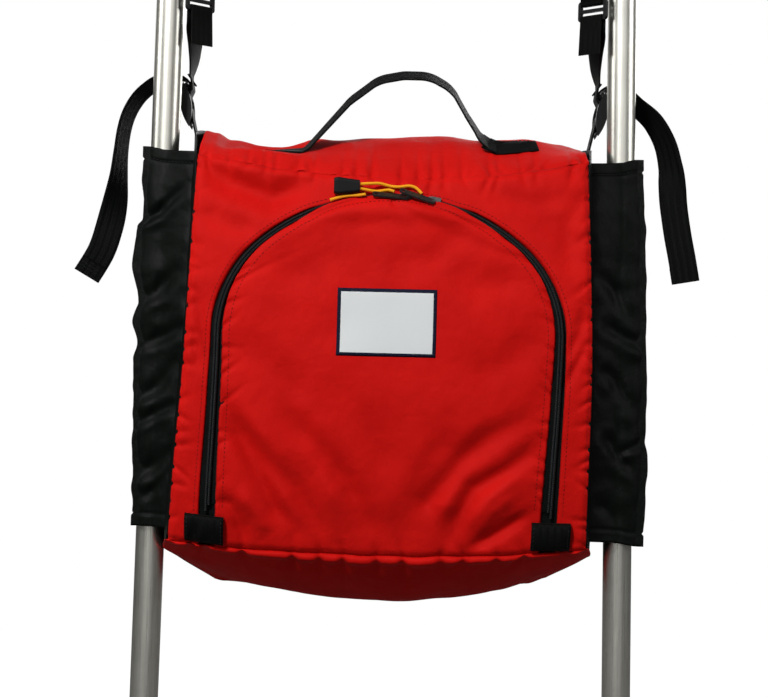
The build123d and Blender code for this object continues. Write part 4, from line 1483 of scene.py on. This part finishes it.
def make_handle():
    """The carry handle: a hoop of webbing whose ends lie sewn on the top."""
    lift = web_thickness / 2 + 0.4
    end_x = handle_half_span + handle_sewn
    path = [
        (-end_x, 0.0),
        (-handle_half_span + 2, 0.0),
        (-38.0, 0.60 * handle_rise),
        (-14.0, 0.88 * handle_rise),
        (8.0, handle_rise - 3.5),
        (31.0, handle_rise - 3.5),
        (51.0, 0.78 * handle_rise),
        (65.0, 0.42 * handle_rise),
        (handle_half_span + 4, 0.0),
        (end_x, 0.0),
    ]
    spine, wides = [], []
    middle = handle_seat(0.0)[:2]
    for x, rise in filleted(path, [12, 60, 34, 34, 34, 34, 60, 26], step=1.0):
        y, z, slope = handle_seat(x)
        free = smooth(rise / 34.0)
        base_y, base_z = y * (1 - free) + middle[0] * free, z * (1 - free) + middle[1] * free
        tilt = slope * (1 - free) + handle_lean * free
        spine.append(Vector((x, base_y - math.sin(tilt) * lift, base_z + math.cos(tilt) * lift + rise)))
        wides.append(Vector((0, math.cos(tilt), math.sin(tilt))))
    web_piece("handle_webbing", [(spine, wides)], ["carry_handle"])


# Stitches


def stitch_row(name, line, outward, look, body, stitch=2.4, gap=1.3, radius=0.34):
    """Sewing along a line of points: small beads of thread that dip into the cloth at both ends."""
    line = [Vector(p) for p in line]
    marks = [0.0]
    for a, b in zip(line, line[1:]):
        marks.append(marks[-1] + (b - a).length)

    def at(far):
        i = int(np.searchsorted(marks, far, side="right")) - 1
        i = min(max(i, 0), len(line) - 2)
        return line[i].lerp(line[i + 1], (far - marks[i]) / max(marks[i + 1] - marks[i], 1e-6))

    verts, faces, uvs = [], [], []
    ring = 6
    out = Vector(outward).normalized()
    for n in range(int(marks[-1] // (stitch + gap))):
        start = n * (stitch + gap)
        first = len(verts)
        along = (at(start + stitch) - at(start)).normalized()
        side = along.cross(out).normalized()
        up = side.cross(along)
        for share, size, height in ((0.0, 0.5, -0.5), (0.2, 1.0, 0.2), (0.8, 1.0, 0.2), (1.0, 0.5, -0.5)):
            centre = at(start + share * stitch)
            for k in range(ring):
                angle = 2 * math.pi * k / ring
                arm = side * math.cos(angle) + up * math.sin(angle)
                verts.append(tuple(centre + arm * radius * size + up * radius * height))
                uvs.append((radius * angle, share * stitch))
        faces += grid_faces(4, ring, first, closed=True)
        faces.append(tuple(first + k for k in range(ring)))
        faces.append(tuple(first + 3 * ring + k for k in reversed(range(ring))))
    return piece_from(name, verts, faces, uvs, look, body)


def walked(corners, count):
    """Points along a path of corners, count for each leg."""
    return [blended(a, b, k / count) for a, b in zip(corners, corners[1:]) for k in range(count)]


forward = (0, -1, 0)


def sew_zip():
    """Sewing along the flap and its opening."""
    on_flap, on_front = [], []
    for s in lengths(-arch_end + 4, arch_end - 4, 700):
        x, z = opening_edge(s, flap_shy, -1, 6.5)
        on_flap.append((x, flap_place(x, z), z))
    for s in lengths(-arch_end, arch_end, 700):
        x, z = opening_edge(s, front_shy, 1, 4.5)
        on_front.append((x, front_place(x, z), z))
    hung(stitch_row("flap_stitches", on_flap, forward, "red_thread", "flap"))
    hung(stitch_row("opening_stitches", on_front, forward, "red_thread", "handlebar"))


def sew_label():
    """Sewing round the label."""
    (x0, z0), inset = label_centre, 1.5
    half_x, half_z = label_width / 2 - inset, label_height / 2 - inset
    shares = ((-1, -1), (1, -1), (1, 1), (-1, 1), (-1, -1))
    corners = [(x0 + a * half_x, z0 + b * half_z) for a, b in shares]
    line = [(x, flap_place(x, z) - label_lift, z) for x, z in walked(corners, 40)]
    hung(stitch_row("label_stitches", line, forward, "navy_thread", "flap"))


def sew_tab(side, sign):
    """Sewing down both ends of a zip tab."""
    for edge in (-1, 1):
        across = edge * (tab_width / 2 - 2.2)
        x = tab_centre(sign)[0] + across
        line = []
        for z in lengths(tab_bottom_z + 1.5, tab_top_z - 1.5, 30):
            v = (z - tab_bottom_z) / (tab_top_z - tab_bottom_z)
            y = front_place(x, z) - tab_lift - rolled(v, tab_roll)
            line.append((x, y, z + tab_tilts[side] * across))
        name = f"{side}_tab_stitches_{'out' if edge == sign else 'in'}"
        hung(stitch_row(name, line, forward, "black_thread", "handlebar"))


def sew_hems(side, sign):
    """Sewing along both hems of a sleeve, in front."""
    low, high, _, _ = sleeve_ends[side]
    share = (hem_depth - 1.2) / (high - low)
    for place, v in (("low", share), ("top", 1 - share)):
        line = [sleeve_point(side, sign, u, v) for u in lengths(-0.99, -0.05, 120)]
        stitch_row(f"{side}_{place}_hem_stitches", line, forward, "black_thread", "handlebar")


def sew_handle(side, sign):
    """A box with one diagonal on a sewn end of the carry handle."""
    inner, outer = handle_half_span + 8, handle_half_span + handle_sewn - 4
    lift = web_thickness + 0.4
    low, high = handle_share - 0.08, handle_share + 0.08
    box = [(inner, low), (outer, low), (outer, high), (inner, high), (inner, low), (outer, high)]
    line = []
    for x, share in walked(box, 16):
        y, z, slope = handle_seat(sign * x)
        off = (share - handle_share) * panel_run
        c, s = math.cos(slope), math.sin(slope)
        line.append((sign * x, y + off * c - s * lift, z + off * s + c * lift))
    stitch_row(f"{side}_handle_stitches", line, (0, -0.3, 1), "black_thread", "handlebar")


# Hardware kept from the CAD model


def dress_nodes():
    """Gives the rigid nodes their materials and soft edges."""
    looks = {
        "crossbar": "tube", "pull_grip": "grip",
        "lower_zip_slider": "slider", "upper_zip_slider": "slider",
    }
    for side, _ in sides:
        looks[f"{side}_upright"] = "tube"
        looks[f"{side}_top_plug"] = "cap"
        looks[f"{side}_ladder_lock"] = "buckle"
        looks[f"{side}_slide_buckle"] = "buckle"
    for node, look in looks.items():
        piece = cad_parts[node]
        piece.data.materials.clear()
        piece.data.materials.append(materials[look])
        if look in ("buckle", "grip", "slider"):
            bevel = piece.modifiers.new("soft_edges", "BEVEL")
            bevel.width = 0.0005
            bevel.segments = 2
            bevel.limit_method = "ANGLE"


make_camera()
make_cords()
make_floor()
make_world()
make_lamps()
make_flap()
make_surround()
make_top()
make_bottom()
make_back()
for side, sign in sides:
    make_side(side, sign)
    make_sleeve(side, sign)
    make_corner_strap(side, sign)
    make_lock_strap(side, sign)
    make_hanging_strap(side, sign)
    make_loop(side, sign)
    make_tail(side, sign)
make_zip()
make_patches()
make_handle()
sew_zip()
sew_label()
for side, sign in sides:
    sew_tab(side, sign)
    sew_hems(side, sign)
    sew_handle(side, sign)
dress_nodes()
